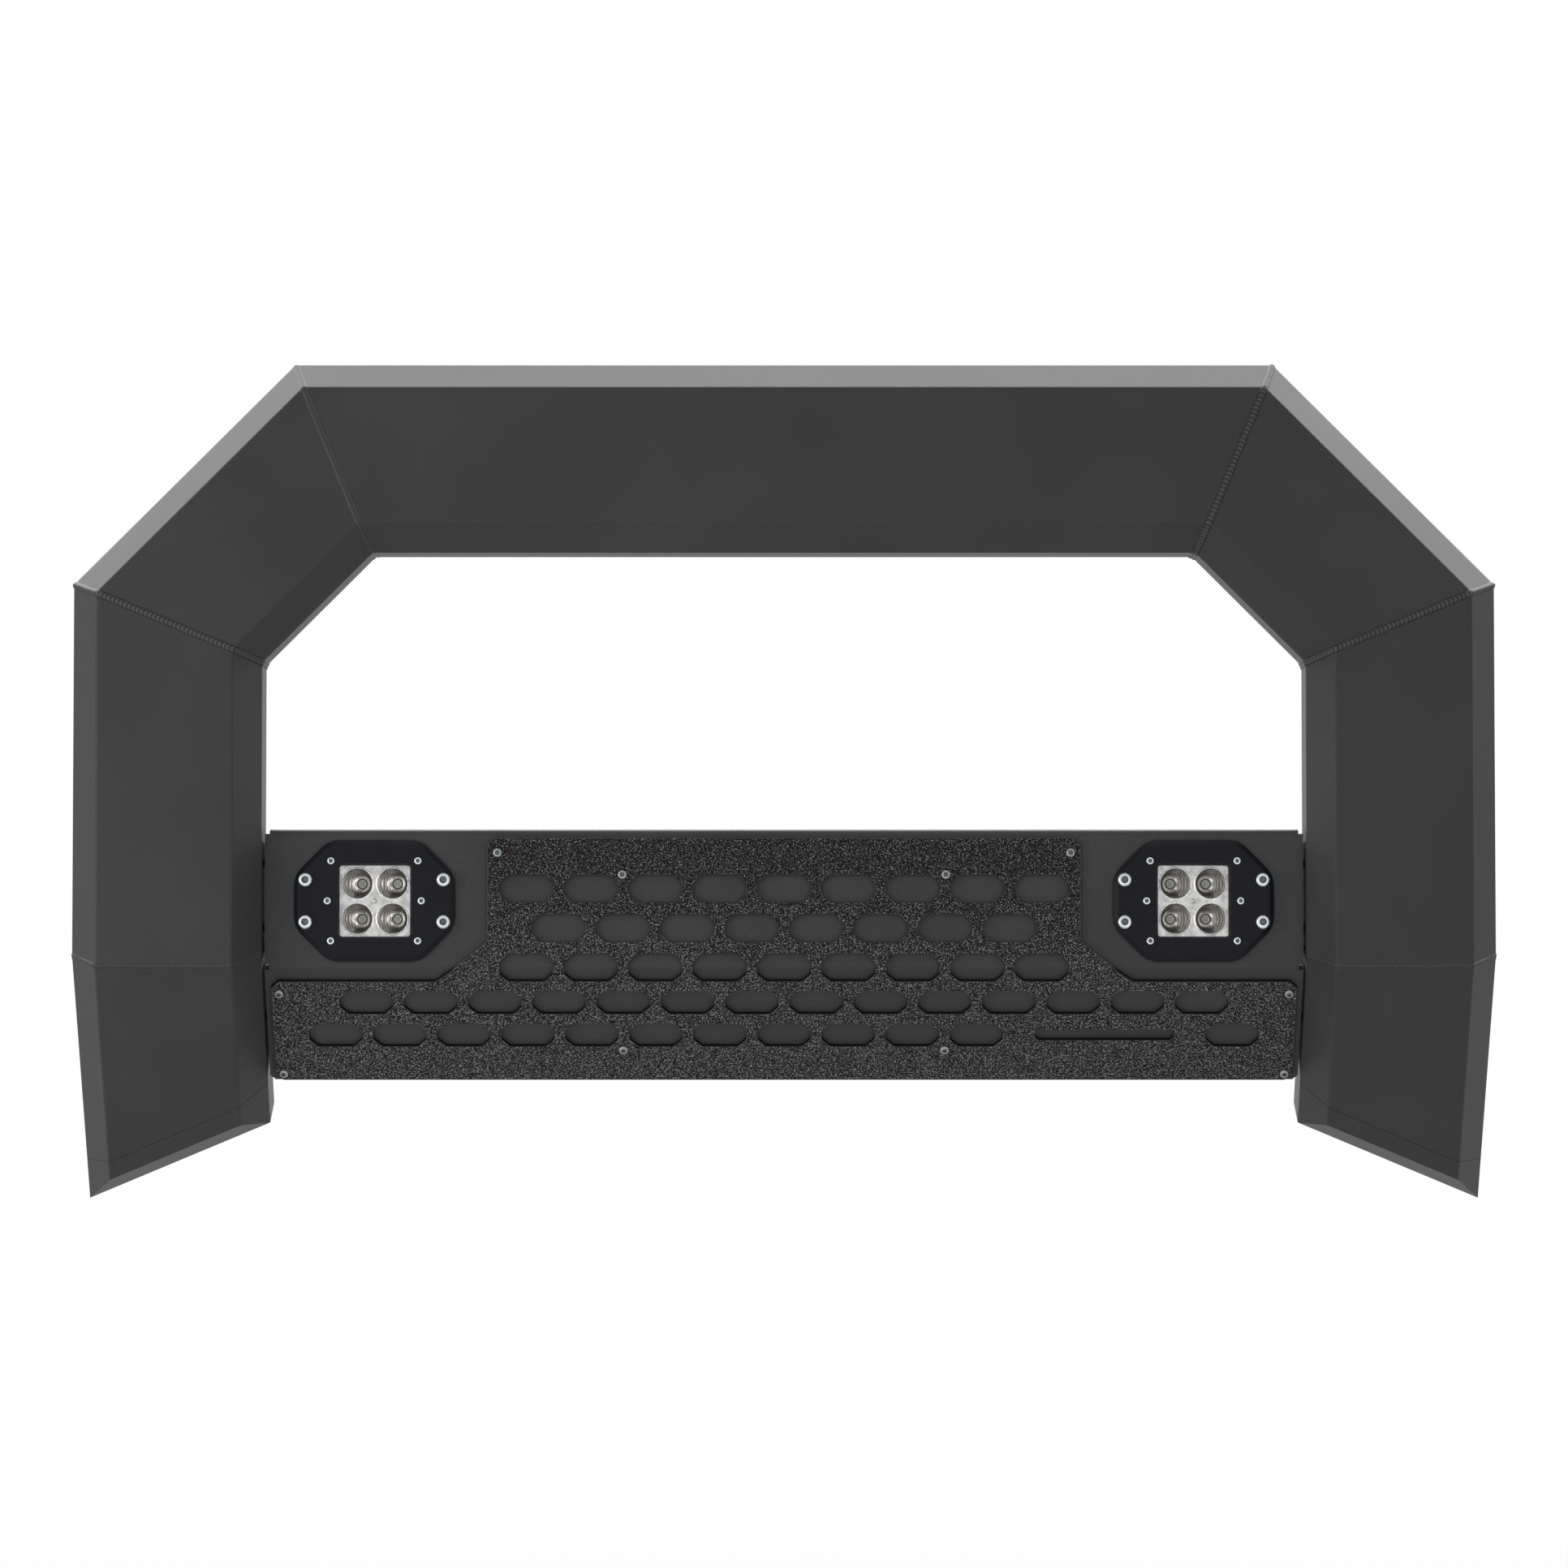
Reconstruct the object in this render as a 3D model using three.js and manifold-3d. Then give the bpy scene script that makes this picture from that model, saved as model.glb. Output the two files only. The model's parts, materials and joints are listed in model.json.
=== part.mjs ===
// Front bull bar: an arch of welded eight-sided tube on two swept-back legs, with a bent light panel
// between the legs, a slotted cover plate on the panel and two flush work lights.
// Millimetres, +Z up. The front faces -Y and the legs sweep back towards +Y.
import * as THREE from "three";
import { mergeVertices } from "three/addons/utils/BufferGeometryUtils.js";
import Module from "manifold-3d";

const wasm = await Module();
wasm.setup();

// ---------- driving dimensions ----------
// Heights count from the knee line, the line on the legs' front faces where they start to sweep back.
// Depths count back from the arch's front plane.

// Eight-sided tube, a little over 5 1/2 in wide
const tubeWidth = 140.8;
const tubeDepth = 92;
const chamferWidth = 20;
const chamferDepth = 27;
const tubeWall = 3.2;

// Arch
const archWidth = 1059.0;
const archHeight = 450.4;
const cornerCut = 164.4; // across and down alike, so the corner tubes lie at 45 degrees
const mitreAngle = Math.PI / 8;
const kneeAngle = THREE.MathUtils.degToRad(35);
const legLength = 230; // along the front face, from the knee line to the tip

// Pointed end caps: slopes are millimetres along the leg per millimetre across or in depth
const capSlopeAcross = 0.5;
const capBevelSlope = 0.98;
const capEndSlope = 0.2;
const capSeamSlope = 0.22;
const capRim = 16.5; // from the seam to the bevel, on the front face
const capWall = 4;
// Share of the wall, measured along the leg, at the end and behind the bevel
const capWallSquare = [1.2, 1.7];

// Weld beads
const weldWidth = 4.4;
const weldHeight = 1.4;

// Sheet metal
const sheet = 3;
const bendRadius = 4; // inside the panel's main bend
const topRadius = 2; // inside the bend of its top flange
const bendSteps = 4;
const panelDepth = 35; // the panel's front face
const bendHeight = 1;
const panelWidth = 774;
const panelTop = 102.7; // from the bend line, along the sheet
const panelBottom = -102;
const topFlange = 25;
const sideFlange = 30;
const reliefNotch = [3.4, 2]; // at each end of the main bend, across and half its height
const flangeNotch = 3.5; // at each end of the top flange
const panelClip = 4;

// Cover plate, in distances from the centreline and, along the sheet, from the bend line
const coverTop = 96.5;
const coverBottom = -100.5;
const coverNeckHalf = 221.5;
const coverNeckLow = 19;
const coverShoulderHalf = 260;
const coverShoulderTop = -11;
const coverHalf = 383;
const coverClip = 6;
const slotLength = 39.6;
const slotHeight = 20.4;
const slotClip = 6.5;
const slotPitch = 48;
const slotRowPitch = 29.4;
const middleRow = -0.6;
const longSlotLength = 104;
const longSlotHeight = 9;
const longSlotClip = 3;
const coverScrews = [
  [213.5, 85],
  [120.5, 68.7],
  [377, -21.4],
  [120.5, -72.2],
  [376.5, -93.9],
];

// Work lights
const lightAcross = 305;
const lightUp = 49.1;
const lightCutout = [84, 80];
const bezelSize = [120, 90.6];
const bezelClip = 26;
const bezelCorner = 9;
const bezelThickness = 4.5;
const bezelLip = 1.8;
const lightWindow = [55, 55.5];
const lensSize = 59.4;
const lensThickness = 2.4;
const lensSink = 0.1; // its back, behind the bezel's back
const gasketSize = 64;
const gasketWindow = 57.6;
const gasketThickness = 1;
const housingSize = 76;
const housingCavity = 57;
const housingFloor = 18; // depth of the cavity's floor behind the panel's front face
const housingBack = 30;
const finReach = 18;
const finCount = 7;
const finThickness = 2.6;
const finMargin = 4; // from the outer fins to the housing's sides
const reflectorSize = 56;
const reflectorDepth = 12.5;
const cupPitch = 26;
const cupMouth = 11.5;
const cupThroat = 4;
const boardThickness = 1.6;
const lightScrewSpacing = [102.8, 31.4];
const gland = {
  collar: 8,
  collarLength: 6,
  nut: 6.8,
  mouth: 5.2,
  taper: 4,
  bore: 2.8,
  boreFloor: 8,
  length: 19,
};

// Fasteners: thread and head radius, head height, hex key size and length under the head
const coverScrew = { thread: 1.95, head: 3.5, height: 2.2, key: 2.5, length: 13 };
const lightScrew = { thread: 2.95, head: 5.15, height: 3.2, key: 4, length: 18 };
const flangeBolt = { thread: 3.95, head: 8.5, height: 2, hex: 13, hexHeight: 7.5, length: 18 };
const flangeBolts = { upperUp: [30, 78], upperBack: 17, lowerDown: 55, lowerBack: 15 };

// Mounting plates behind the legs
const mountPlate = 8;
const mountTop = 150;
const mountBack = 178;
const mountLegReach = 118; // along the lower leg from the knee line
const mountHoleDepth = 150;
const mountHoleHeight = 52;
const mountHolePitch = 80;
const mountHole = 6.5;
const mountSlot = 26;
const mountRelief = 9; // keeps the plate off the knee's weld bead
const mountFoot = 24; // height of its rear edge above its lowest corner
const mountShoulder = [50, 45]; // its sloping upper corner, back and down

const gap = 0.3; // between pieces that touch
const roundSides = 16;
const screwSides = 10;
const holeSides = 12;
const cupSides = 14;
const cutReach = 9; // how far a cutter runs out of a sheet on each side
const boltClearance = 0.5;
const screwClearance = 0.35;

// ---------- derived sizes ----------
const tubeHalf = tubeWidth / 2;
const mitreSlope = Math.tan(mitreAngle);
const mitreShift = tubeHalf * mitreSlope;
const kneeSlope = Math.tan(kneeAngle / 2);
const legCentre = archWidth / 2 - tubeHalf;
const innerSide = legCentre - tubeHalf;
const topCorner = new THREE.Vector3(archWidth / 2 - cornerCut - mitreShift, 0, archHeight - tubeHalf);
const shoulder = new THREE.Vector3(legCentre, 0, archHeight - cornerCut - mitreShift);
const weldTrim = weldWidth / 2 + gap;
const panelHalf = panelWidth / 2;
const bendOuter = bendRadius + sheet;
const topOuter = topRadius + sheet;
const coverBack = gap;
const coverFront = gap + sheet;

// ---------- colours ----------
function finish(color, roughness, metalness) {
  return new THREE.MeshStandardMaterial({ color, roughness, metalness });
}

const powderCoat = finish(0x3f3f40, 0.62, 0.1);
const panelCoat = finish(0x3e403f, 0.6, 0.1);
const textureCoat = finish(0x232425, 0.8, 0.1);
const bezelCoat = finish(0x17181d, 0.45, 0.2);
const bareSteel = finish(0xa9a9a6, 0.35, 0.9);
const castAluminium = finish(0x1d1e20, 0.55, 0.4);
const mirrorFinish = finish(0xd8d8d6, 0.12, 1);
const clearLens = finish(0xe8ecee, 0.05, 0);
const boardWhite = finish(0xd9dad4, 0.6, 0);
const blackRubber = finish(0x101010, 0.9, 0);
const blackNylon = finish(0x151515, 0.6, 0);

// ---------- solids ----------
function solidOf(geometry) {
  const bare = geometry.clone();
  bare.deleteAttribute("normal");
  bare.deleteAttribute("uv");
  const merged = mergeVertices(bare, 1e-4);
  return new wasm.Manifold(
    new wasm.Mesh({
      numProp: 3,
      vertProperties: new Float32Array(merged.attributes.position.array),
      triVerts: new Uint32Array(merged.index.array),
    }),
  );
}

function geometryOf(solid) {
  const mesh = solid.getMesh();
  const geometry = new THREE.BufferGeometry();
  geometry.setAttribute("position", new THREE.BufferAttribute(mesh.vertProperties, 3));
  geometry.setIndex(new THREE.BufferAttribute(mesh.triVerts, 1));
  geometry.computeVertexNormals();
  return geometry;
}

function cut(body, cutters) {
  return cutters.reduce((left, cutter) => left.subtract(solidOf(cutter)), solidOf(body));
}

function join(pieces) {
  return geometryOf(pieces.map(solidOf).reduce((whole, piece) => whole.add(piece)));
}

function meshOf(name, geometry, material) {
  const mesh = new THREE.Mesh(geometry, material);
  mesh.name = name;
  return mesh;
}

// ---------- outlines and basic bodies ----------
function outline(points) {
  return new THREE.Shape(points.map(([x, y]) => new THREE.Vector2(x, y)));
}

function rectangle(width, height, x = 0, y = 0) {
  const [w, h] = [width / 2, height / 2];
  return [
    [x - w, y - h],
    [x + w, y - h],
    [x + w, y + h],
    [x - w, y + h],
  ];
}

// A rectangle with its four corners cut off at 45 degrees.
function clippedRectangle(width, height, clip, x = 0, y = 0) {
  const [w, h] = [width / 2, height / 2];
  return [
    [x - w + clip, y - h],
    [x + w - clip, y - h],
    [x + w, y - h + clip],
    [x + w, y + h - clip],
    [x + w - clip, y + h],
    [x - w + clip, y + h],
    [x - w, y + h - clip],
    [x - w, y - h + clip],
  ];
}

// The same outline with each corner rounded, starting the round at a distance from the corner.
function rounded(points, distance) {
  const corners = points.map(([x, y]) => new THREE.Vector2(x, y));
  const shape = new THREE.Shape();
  corners.forEach((corner, i) => {
    const before = corners[(i + corners.length - 1) % corners.length];
    const after = corners[(i + 1) % corners.length];
    const enter = before.clone().sub(corner).setLength(distance).add(corner);
    const leave = after.clone().sub(corner).setLength(distance).add(corner);
    if (i === 0) shape.moveTo(enter.x, enter.y);
    else shape.lineTo(enter.x, enter.y);
    shape.quadraticCurveTo(corner.x, corner.y, leave.x, leave.y);
  });
  shape.closePath();
  return shape;
}

// A flat body between two heights on its local z axis.
function slab(shape, low, high, curveSegments = 3) {
  const body = new THREE.ExtrudeGeometry(shape, { depth: high - low, bevelEnabled: false, curveSegments });
  return body.translate(0, 0, low);
}

// A rod along local z.
function rod(radius, low, high, x = 0, y = 0, sides = roundSides) {
  const body = new THREE.CylinderGeometry(radius, radius, high - low, sides);
  return body.rotateX(Math.PI / 2).translate(x, y, (low + high) / 2);
}

// A turned body from points of radius and height, along local z.
function turned(points, sides = roundSides) {
  const profile = points.map(([radius, height]) => new THREE.Vector2(radius, height));
  return new THREE.LatheGeometry(profile, sides).rotateX(Math.PI / 2);
}

function place(geometry, xAxis, yAxis, origin) {
  const zAxis = xAxis.clone().cross(yAxis);
  const matrix = new THREE.Matrix4().makeBasis(xAxis, yAxis, zAxis).setPosition(origin);
  return geometry.applyMatrix4(matrix);
}

// ---------- tube work ----------
// The tube's outline with every side moved out by a distance: x across it, y in depth from its front.
function tubeOutline(grow) {
  const slope = Math.hypot(chamferWidth, chamferDepth);
  const across = chamferDepth / slope;
  const back = chamferWidth / slope;
  const faceHalf = tubeHalf - chamferWidth + (grow * (1 - back)) / across;
  const sideHalf = tubeHalf + grow;
  const frontCorner = chamferDepth - (grow * (1 - across)) / back;
  const rearCorner = tubeDepth - frontCorner;
  return [
    [faceHalf, -grow],
    [sideHalf, frontCorner],
    [sideHalf, rearCorner],
    [faceHalf, tubeDepth + grow],
    [-faceHalf, tubeDepth + grow],
    [-sideHalf, rearCorner],
    [-sideHalf, frontCorner],
    [-faceHalf, -grow],
  ];
}

// A prism whose two ends are planes: each height is at + perX * x + perY * y.
function prism(shape, low, high) {
  const body = slab(shape, 0, 1);
  const points = body.attributes.position;
  for (let i = 0; i < points.count; i++) {
    const end = points.getZ(i) < 0.5 ? low : high;
    points.setZ(i, end.at + end.perX * points.getX(i) + end.perY * points.getY(i));
  }
  return body;
}

function plane(at, perX = 0, perY = 0) {
  return { at, perX, perY };
}

function hollowTube(low, high) {
  const shape = outline(tubeOutline(0));
  shape.holes.push(outline(tubeOutline(-tubeWall)));
  return prism(shape, low, high);
}

const axisX = new THREE.Vector3(1, 0, 0);
const axisY = new THREE.Vector3(0, 1, 0);
const axisZ = new THREE.Vector3(0, 0, 1);
const diagonalOut = new THREE.Vector3(1, 0, 1).normalize();
const legBack = new THREE.Vector3(0, Math.cos(kneeAngle), Math.sin(kneeAngle));
const mitreTrim = weldTrim / Math.cos(mitreAngle);
const kneeTrim = weldTrim / Math.cos(kneeAngle / 2);

function topTube() {
  const length = 2 * topCorner.x;
  const body = hollowTube(plane(mitreTrim, -mitreSlope), plane(length - mitreTrim, mitreSlope));
  return place(body, axisZ, axisY, topCorner);
}

function cornerTube() {
  const length = shoulder.distanceTo(topCorner);
  const body = hollowTube(plane(mitreTrim, -mitreSlope), plane(length - mitreTrim, mitreSlope));
  return place(body, diagonalOut, axisY, shoulder);
}

const kneeCentre = new THREE.Vector3(legCentre, 0, 0);

function uprightTube() {
  const low = plane(kneeTrim, 0, kneeSlope);
  const high = plane(shoulder.z - mitreTrim, mitreSlope);
  const body = place(hollowTube(low, high), axisX, axisY, kneeCentre);
  const holes = flangeBolts.upperUp.map((up) => flangeHole(up, flangeBolts.upperBack, 0));
  return geometryOf(cut(body, holes));
}

// The planes of the pointed end, in the lower leg's own axes: x out, y back, z up along the leg.
const tipAcross = capSlopeAcross * tubeHalf;
const tipPlane = (slope) => plane(slope * chamferDepth + tipAcross - legLength, -capSlopeAcross, -slope);
const bevelPlane = tipPlane(capBevelSlope);
const endPlane = tipPlane(capEndSlope);
const seamPlane = plane(bevelPlane.at + capRim, -capSlopeAcross, -capSeamSlope);

const raised = (flat, distance) => plane(flat.at + distance, flat.perX, flat.perY);

function lowerLegTube() {
  const low = raised(seamPlane, gap / 2);
  const high = plane(-kneeTrim, 0, -kneeSlope);
  const body = place(hollowTube(low, high), axisX, legBack, kneeCentre);
  return geometryOf(cut(body, [flangeHole(-flangeBolts.lowerDown, flangeBolts.lowerBack, kneeAngle)]));
}

// The part of the leg below the seam, shrunk by a wall and ending at the bevel and the end plane.
function capBody(wall, top) {
  const shape = outline(tubeOutline(-wall));
  const wide = outline(tubeOutline(tubeHalf));
  const [atEnd, atBevel] = capWallSquare.map((share) => share * wall);
  const ended = solidOf(prism(shape, raised(endPlane, atEnd), top));
  return ended.intersect(solidOf(prism(wide, raised(bevelPlane, atBevel), raised(top, capWall))));
}

function endCap() {
  const shell = capBody(0, raised(seamPlane, -gap / 2));
  const cavity = capBody(capWall, raised(seamPlane, tubeHalf));
  return place(geometryOf(shell.subtract(cavity)), axisX, legBack, kneeCentre);
}

// A flat ring along a joint, standing a little proud of the tubes' outer faces.
function weldBead(stretchX, stretchY) {
  const stretch = ([x, y]) => [x * stretchX, y * stretchY];
  const ring = outline(tubeOutline(weldHeight).map(stretch));
  ring.holes.push(outline(tubeOutline(-tubeWall).map(stretch)));
  return slab(ring, -weldWidth / 2, weldWidth / 2);
}

function mitreWeld(corner, angle) {
  const out = new THREE.Vector3(Math.cos(angle), 0, Math.sin(angle));
  return place(weldBead(1 / Math.cos(mitreAngle), 1), out, axisY, corner);
}

function kneeWeld() {
  const back = new THREE.Vector3(0, Math.cos(kneeAngle / 2), Math.sin(kneeAngle / 2));
  return place(weldBead(1, 1 / Math.cos(kneeAngle / 2)), axisX, back, kneeCentre);
}

// A gusset welded on edge behind the knee, with a round hole above a slotted one.
function mountingPlate() {
  const along = new THREE.Vector3(0, -Math.sin(kneeAngle), Math.cos(kneeAngle));
  const onLeg = (up) => {
    const point = along.clone().multiplyScalar(up).addScaledVector(legBack, tubeDepth + gap);
    return [point.y, point.z];
  };
  const bend = (tubeDepth + gap) * kneeSlope;
  const low = onLeg(-mountLegReach);
  const shape = outline([
    [tubeDepth + gap, mountTop],
    [tubeDepth + gap, bend + mountRelief],
    onLeg(-bend - mountRelief),
    low,
    [mountBack, low[1] + mountFoot],
    [mountBack, mountTop - mountShoulder[1]],
    [mountBack - mountShoulder[0], mountTop],
  ]);
  const upper = mountHoleHeight + mountHolePitch / 2;
  const lower = mountHoleHeight - mountHolePitch / 2;
  const reach = mountSlot / 2 - mountHole;
  const round = new THREE.Path().absarc(mountHoleDepth, upper, mountHole, 0, 2 * Math.PI);
  const slot = new THREE.Path();
  slot.absarc(mountHoleDepth + reach, lower, mountHole, -Math.PI / 2, Math.PI / 2);
  slot.absarc(mountHoleDepth - reach, lower, mountHole, Math.PI / 2, (3 * Math.PI) / 2);
  slot.closePath();
  shape.holes.push(round, slot);
  const body = slab(shape, -mountPlate / 2, mountPlate / 2, roundSides / 2);
  return place(body, axisY, axisZ, kneeCentre);
}

// ---------- sheet metal ----------
// Sheet axes: x across, y up along the upper section, z out of its front face, from the bend line.
// The lower section is the upper one turned back about the x axis by the knee angle.
const bendCentre = bendOuter * kneeSlope;

function lowerPoint(along, out) {
  const [c, s] = [Math.cos(kneeAngle), Math.sin(kneeAngle)];
  return [c * along - s * out, s * along + c * out];
}

// The bent part of a sheet's edge-on outline, between its back and front faces.
function addBend(shape, out, downwards) {
  const [upper, lower] = [Math.PI / 2, Math.PI / 2 + kneeAngle];
  if (downwards) shape.absarc(bendCentre, -bendOuter, bendOuter + out, upper, lower, false);
  else shape.absarc(bendCentre, -bendOuter, bendOuter + out, lower, upper, true);
}

function acrossSheet(shape, from, to) {
  return place(slab(shape, from, to, bendSteps), axisY, axisZ, new THREE.Vector3());
}

function panelStrip() {
  const shape = new THREE.Shape();
  shape.moveTo(panelTop - sheet, -topFlange);
  shape.lineTo(panelTop, -topFlange);
  shape.absarc(panelTop - topOuter, -topOuter, topOuter, 0, Math.PI / 2, false);
  addBend(shape, 0, true);
  shape.lineTo(...lowerPoint(panelBottom, 0));
  shape.lineTo(...lowerPoint(panelBottom, -sheet));
  addBend(shape, -sheet, false);
  shape.absarc(panelTop - topOuter, -topOuter, topRadius, Math.PI / 2, 0, true);
  shape.closePath();
  return acrossSheet(shape, -panelHalf, panelHalf);
}

// A side flange's outline in its own section's axes: it ends at the plane that halves the bend.
function flangeOutline(far, direction) {
  const near = direction * reliefNotch[1];
  const back = near + direction * sideFlange * kneeSlope;
  const end = far - direction * panelClip;
  return outline([
    [near, -sheet / 2],
    [end, -sheet / 2],
    [end, -sideFlange + panelClip],
    [end - direction * panelClip, -sideFlange],
    [back, -sideFlange],
  ]);
}

function flangeHole(up, back, turn) {
  const hole = rod(flangeBolt.thread + boltClearance, -cutReach, cutReach).rotateY(Math.PI / 2);
  hole.translate(innerSide, up, -back).rotateX(Math.PI / 2 + turn);
  return hole.translate(0, panelDepth, bendHeight);
}

function toLower(geometry) {
  return geometry.rotateX(kneeAngle);
}

function bothSides(make) {
  return [1, -1].flatMap(make);
}

function sideFlanges() {
  return bothSides((side) => {
    const [from, to] = side > 0 ? [panelHalf - sheet, panelHalf] : [-panelHalf, sheet - panelHalf];
    const upper = acrossSheet(flangeOutline(panelTop - topOuter, 1), from, to);
    const lower = acrossSheet(flangeOutline(panelBottom, -1), from, to);
    return [upper, toLower(lower)];
  });
}

function flangeCutters() {
  const hole = () => rod(flangeBolt.thread + boltClearance, -cutReach, cutReach).rotateY(Math.PI / 2);
  const across = (up, back) => hole().translate(0, up, -back);
  return bothSides((side) => [
    ...flangeBolts.upperUp.map((up) => across(up, flangeBolts.upperBack).translate(side * panelHalf, 0, 0)),
    toLower(across(-flangeBolts.lowerDown, flangeBolts.lowerBack).translate(side * panelHalf, 0, 0)),
  ]);
}

function screwCutters() {
  return bothSides((side) =>
    coverScrews.map(([x, along]) => {
      const radius = coverScrew.thread + screwClearance;
      const hole = rod(radius, -cutReach, cutReach, side * x, along, holeSides);
      return along > 0 ? hole : toLower(hole);
    }),
  );
}

function lightScrewPlaces() {
  const [x, y] = lightScrewSpacing.map((spacing) => spacing / 2);
  return [
    [x, y],
    [x, -y],
    [-x, -y],
    [-x, y],
  ];
}

function lightScrewHoles() {
  const radius = lightScrew.thread + screwClearance;
  return lightScrewPlaces().map(([x, y]) => rod(radius, -cutReach, cutReach, x, y, holeSides));
}

function lightCutters() {
  return bothSides((side) => {
    const opening = slab(rounded(rectangle(...lightCutout), 6), -cutReach, cutReach);
    return [opening, ...lightScrewHoles()].map((cutter) => cutter.translate(side * lightAcross, lightUp, 0));
  });
}

function edgeCutters() {
  return bothSides((side) => {
    const relief = outline(rectangle(2 * reliefNotch[0], 2 * reliefNotch[1], side * panelHalf));
    const notch = slab(relief, -cutReach, cutReach);
    const corner = slab(
      outline([
        [side * (panelHalf - panelClip), panelBottom - 1],
        [side * (panelHalf + 1), panelBottom - 1],
        [side * (panelHalf + 1), panelBottom + panelClip],
        [side * panelHalf, panelBottom + panelClip],
        [side * (panelHalf - panelClip), panelBottom],
      ]),
      -cutReach,
      cutReach,
    );
    const end = outline(rectangle(2 * flangeNotch, 2 * flangeNotch, side * panelHalf, panelTop));
    const flangeEnd = slab(end, -topFlange - cutReach, cutReach);
    return [notch, toLower(corner), flangeEnd];
  });
}

function lightPanel() {
  const blank = join([panelStrip(), ...sideFlanges()]);
  return geometryOf(cut(blank, [...edgeCutters(), ...lightCutters(), ...screwCutters(), ...flangeCutters()]));
}

function coverStrip() {
  const shape = new THREE.Shape();
  shape.moveTo(coverTop, coverBack);
  shape.lineTo(coverTop, coverFront);
  addBend(shape, coverFront, true);
  shape.lineTo(...lowerPoint(coverBottom, coverFront));
  shape.lineTo(...lowerPoint(coverBottom, coverBack));
  addBend(shape, coverBack, false);
  shape.closePath();
  return acrossSheet(shape, -coverHalf, coverHalf);
}

// What is cut from the blank outside the plate's outline, above and below the bend line.
function coverWings() {
  const run = coverNeckLow / (coverNeckLow - coverShoulderTop);
  const crossing = coverNeckHalf + run * (coverShoulderHalf - coverNeckHalf);
  const beyond = coverHalf + 20;
  const pastBend = bendOuter + coverFront;
  return bothSides((side) => {
    const wing = (points) => slab(outline(points.map(([x, y]) => [side * x, y])), -cutReach, cutReach);
    const upper = wing([
      [coverNeckHalf - coverClip, coverTop],
      [coverNeckHalf, coverTop - coverClip],
      [coverNeckHalf, coverNeckLow],
      [crossing, 0],
      [crossing, -pastBend],
      [beyond, -pastBend],
      [beyond, coverTop + 1],
      [coverNeckHalf - coverClip, coverTop + 1],
    ]);
    const lower = wing([
      [crossing, 0],
      [coverShoulderHalf, coverShoulderTop],
      [coverHalf - coverClip, coverShoulderTop],
      [coverHalf, coverShoulderTop - coverClip],
      [beyond, coverShoulderTop - coverClip],
      [beyond, pastBend],
      [crossing, pastBend],
    ]);
    const corner = wing([
      [coverHalf - coverClip, coverBottom],
      [coverHalf, coverBottom + coverClip],
      [beyond, coverBottom + coverClip],
      [beyond, coverBottom - pastBend],
      [coverHalf - coverClip, coverBottom - pastBend],
    ]);
    return [upper, toLower(lower), toLower(corner)];
  });
}

function slotCutter(x, y) {
  return slab(outline(clippedRectangle(slotLength, slotHeight, slotClip, x, y)), -cutReach, cutReach);
}

// Places of a row of slots, centred on the plate.
function rowPlaces(count) {
  return Array.from({ length: count }, (_, i) => (i - (count - 1) / 2) * slotPitch);
}

// Two rows above the bend, one across it and two below. In the lowest row one long slot takes the
// place of three.
function slotCutters() {
  const longSlotAt = 5 * slotPitch;
  const lowestRow = middleRow - 2 * slotRowPitch;
  const lowest = rowPlaces(15).filter((x) => Math.abs(x - longSlotAt) > 1.5 * slotPitch);
  const row = (places, step) => places.map((x) => slotCutter(x, middleRow + step * slotRowPitch));
  const longSlot = slab(
    outline(clippedRectangle(longSlotLength, longSlotHeight, longSlotClip, longSlotAt, lowestRow)),
    -cutReach,
    cutReach,
  );
  const below = [...row(rowPlaces(14), -1), ...row(lowest, -2), longSlot];
  const across = row(rowPlaces(9), 0).map((cutter) => cutter.rotateX(kneeAngle / 2));
  return [...row(rowPlaces(9), 2), ...row(rowPlaces(8), 1), ...across, ...below.map(toLower)];
}

function coverPlate() {
  return geometryOf(cut(coverStrip(), [...coverWings(), ...slotCutters(), ...screwCutters()]));
}

// ---------- work light, in axes at its centre on the panel's front face ----------
const bezelBack = gap;
const bezelFront = gap + bezelThickness;
const lensBack = bezelBack - lensSink;
const housingFront = -gasketThickness - gap - lensSink;
const reflectorFront = housingFront - 2 * gap;
const reflectorBack = reflectorFront - reflectorDepth;

function bezel() {
  const pocket = lensSize + 2 * gap;
  const face = rounded(clippedRectangle(...bezelSize, bezelClip), bezelCorner);
  const body = slab(face, bezelBack, bezelFront, 4);
  const window = slab(rounded(rectangle(...lightWindow), 3), -cutReach, cutReach);
  const recess = slab(outline(rectangle(pocket, pocket)), -cutReach, bezelFront - bezelLip);
  return geometryOf(cut(body, [window, recess, ...lightScrewHoles()]));
}

function lens() {
  return slab(rounded(rectangle(lensSize, lensSize), 2), lensBack, lensBack + lensThickness);
}

function lensGasket() {
  const ring = rounded(rectangle(gasketSize, gasketSize), 4);
  ring.holes.push(rounded(rectangle(gasketWindow, gasketWindow), 3));
  return slab(ring, -gap / 2 - gasketThickness, -gap / 2);
}

function reflector() {
  const body = slab(rounded(rectangle(reflectorSize, reflectorSize), 3), reflectorBack, reflectorFront);
  const steps = [0, 0.2, 0.55, 1];
  const bowl = steps.map((step) => [
    cupThroat + (cupMouth - cupThroat) * Math.sqrt(step),
    reflectorBack + reflectorDepth * step,
  ]);
  const profile = [[0, reflectorBack - 1], [cupThroat, reflectorBack - 1], ...bowl];
  profile.push([cupMouth, reflectorFront + 1], [0, reflectorFront + 1]);
  const cups = [1, -1].flatMap((x) =>
    [1, -1].map((y) => turned(profile, cupSides).translate((x * cupPitch) / 2, (y * cupPitch) / 2, 0)),
  );
  return geometryOf(cut(body, cups));
}

function ledBoard() {
  const front = reflectorBack - gap;
  return slab(rounded(rectangle(reflectorSize, reflectorSize), 3), front - boardThickness, front);
}

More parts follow.
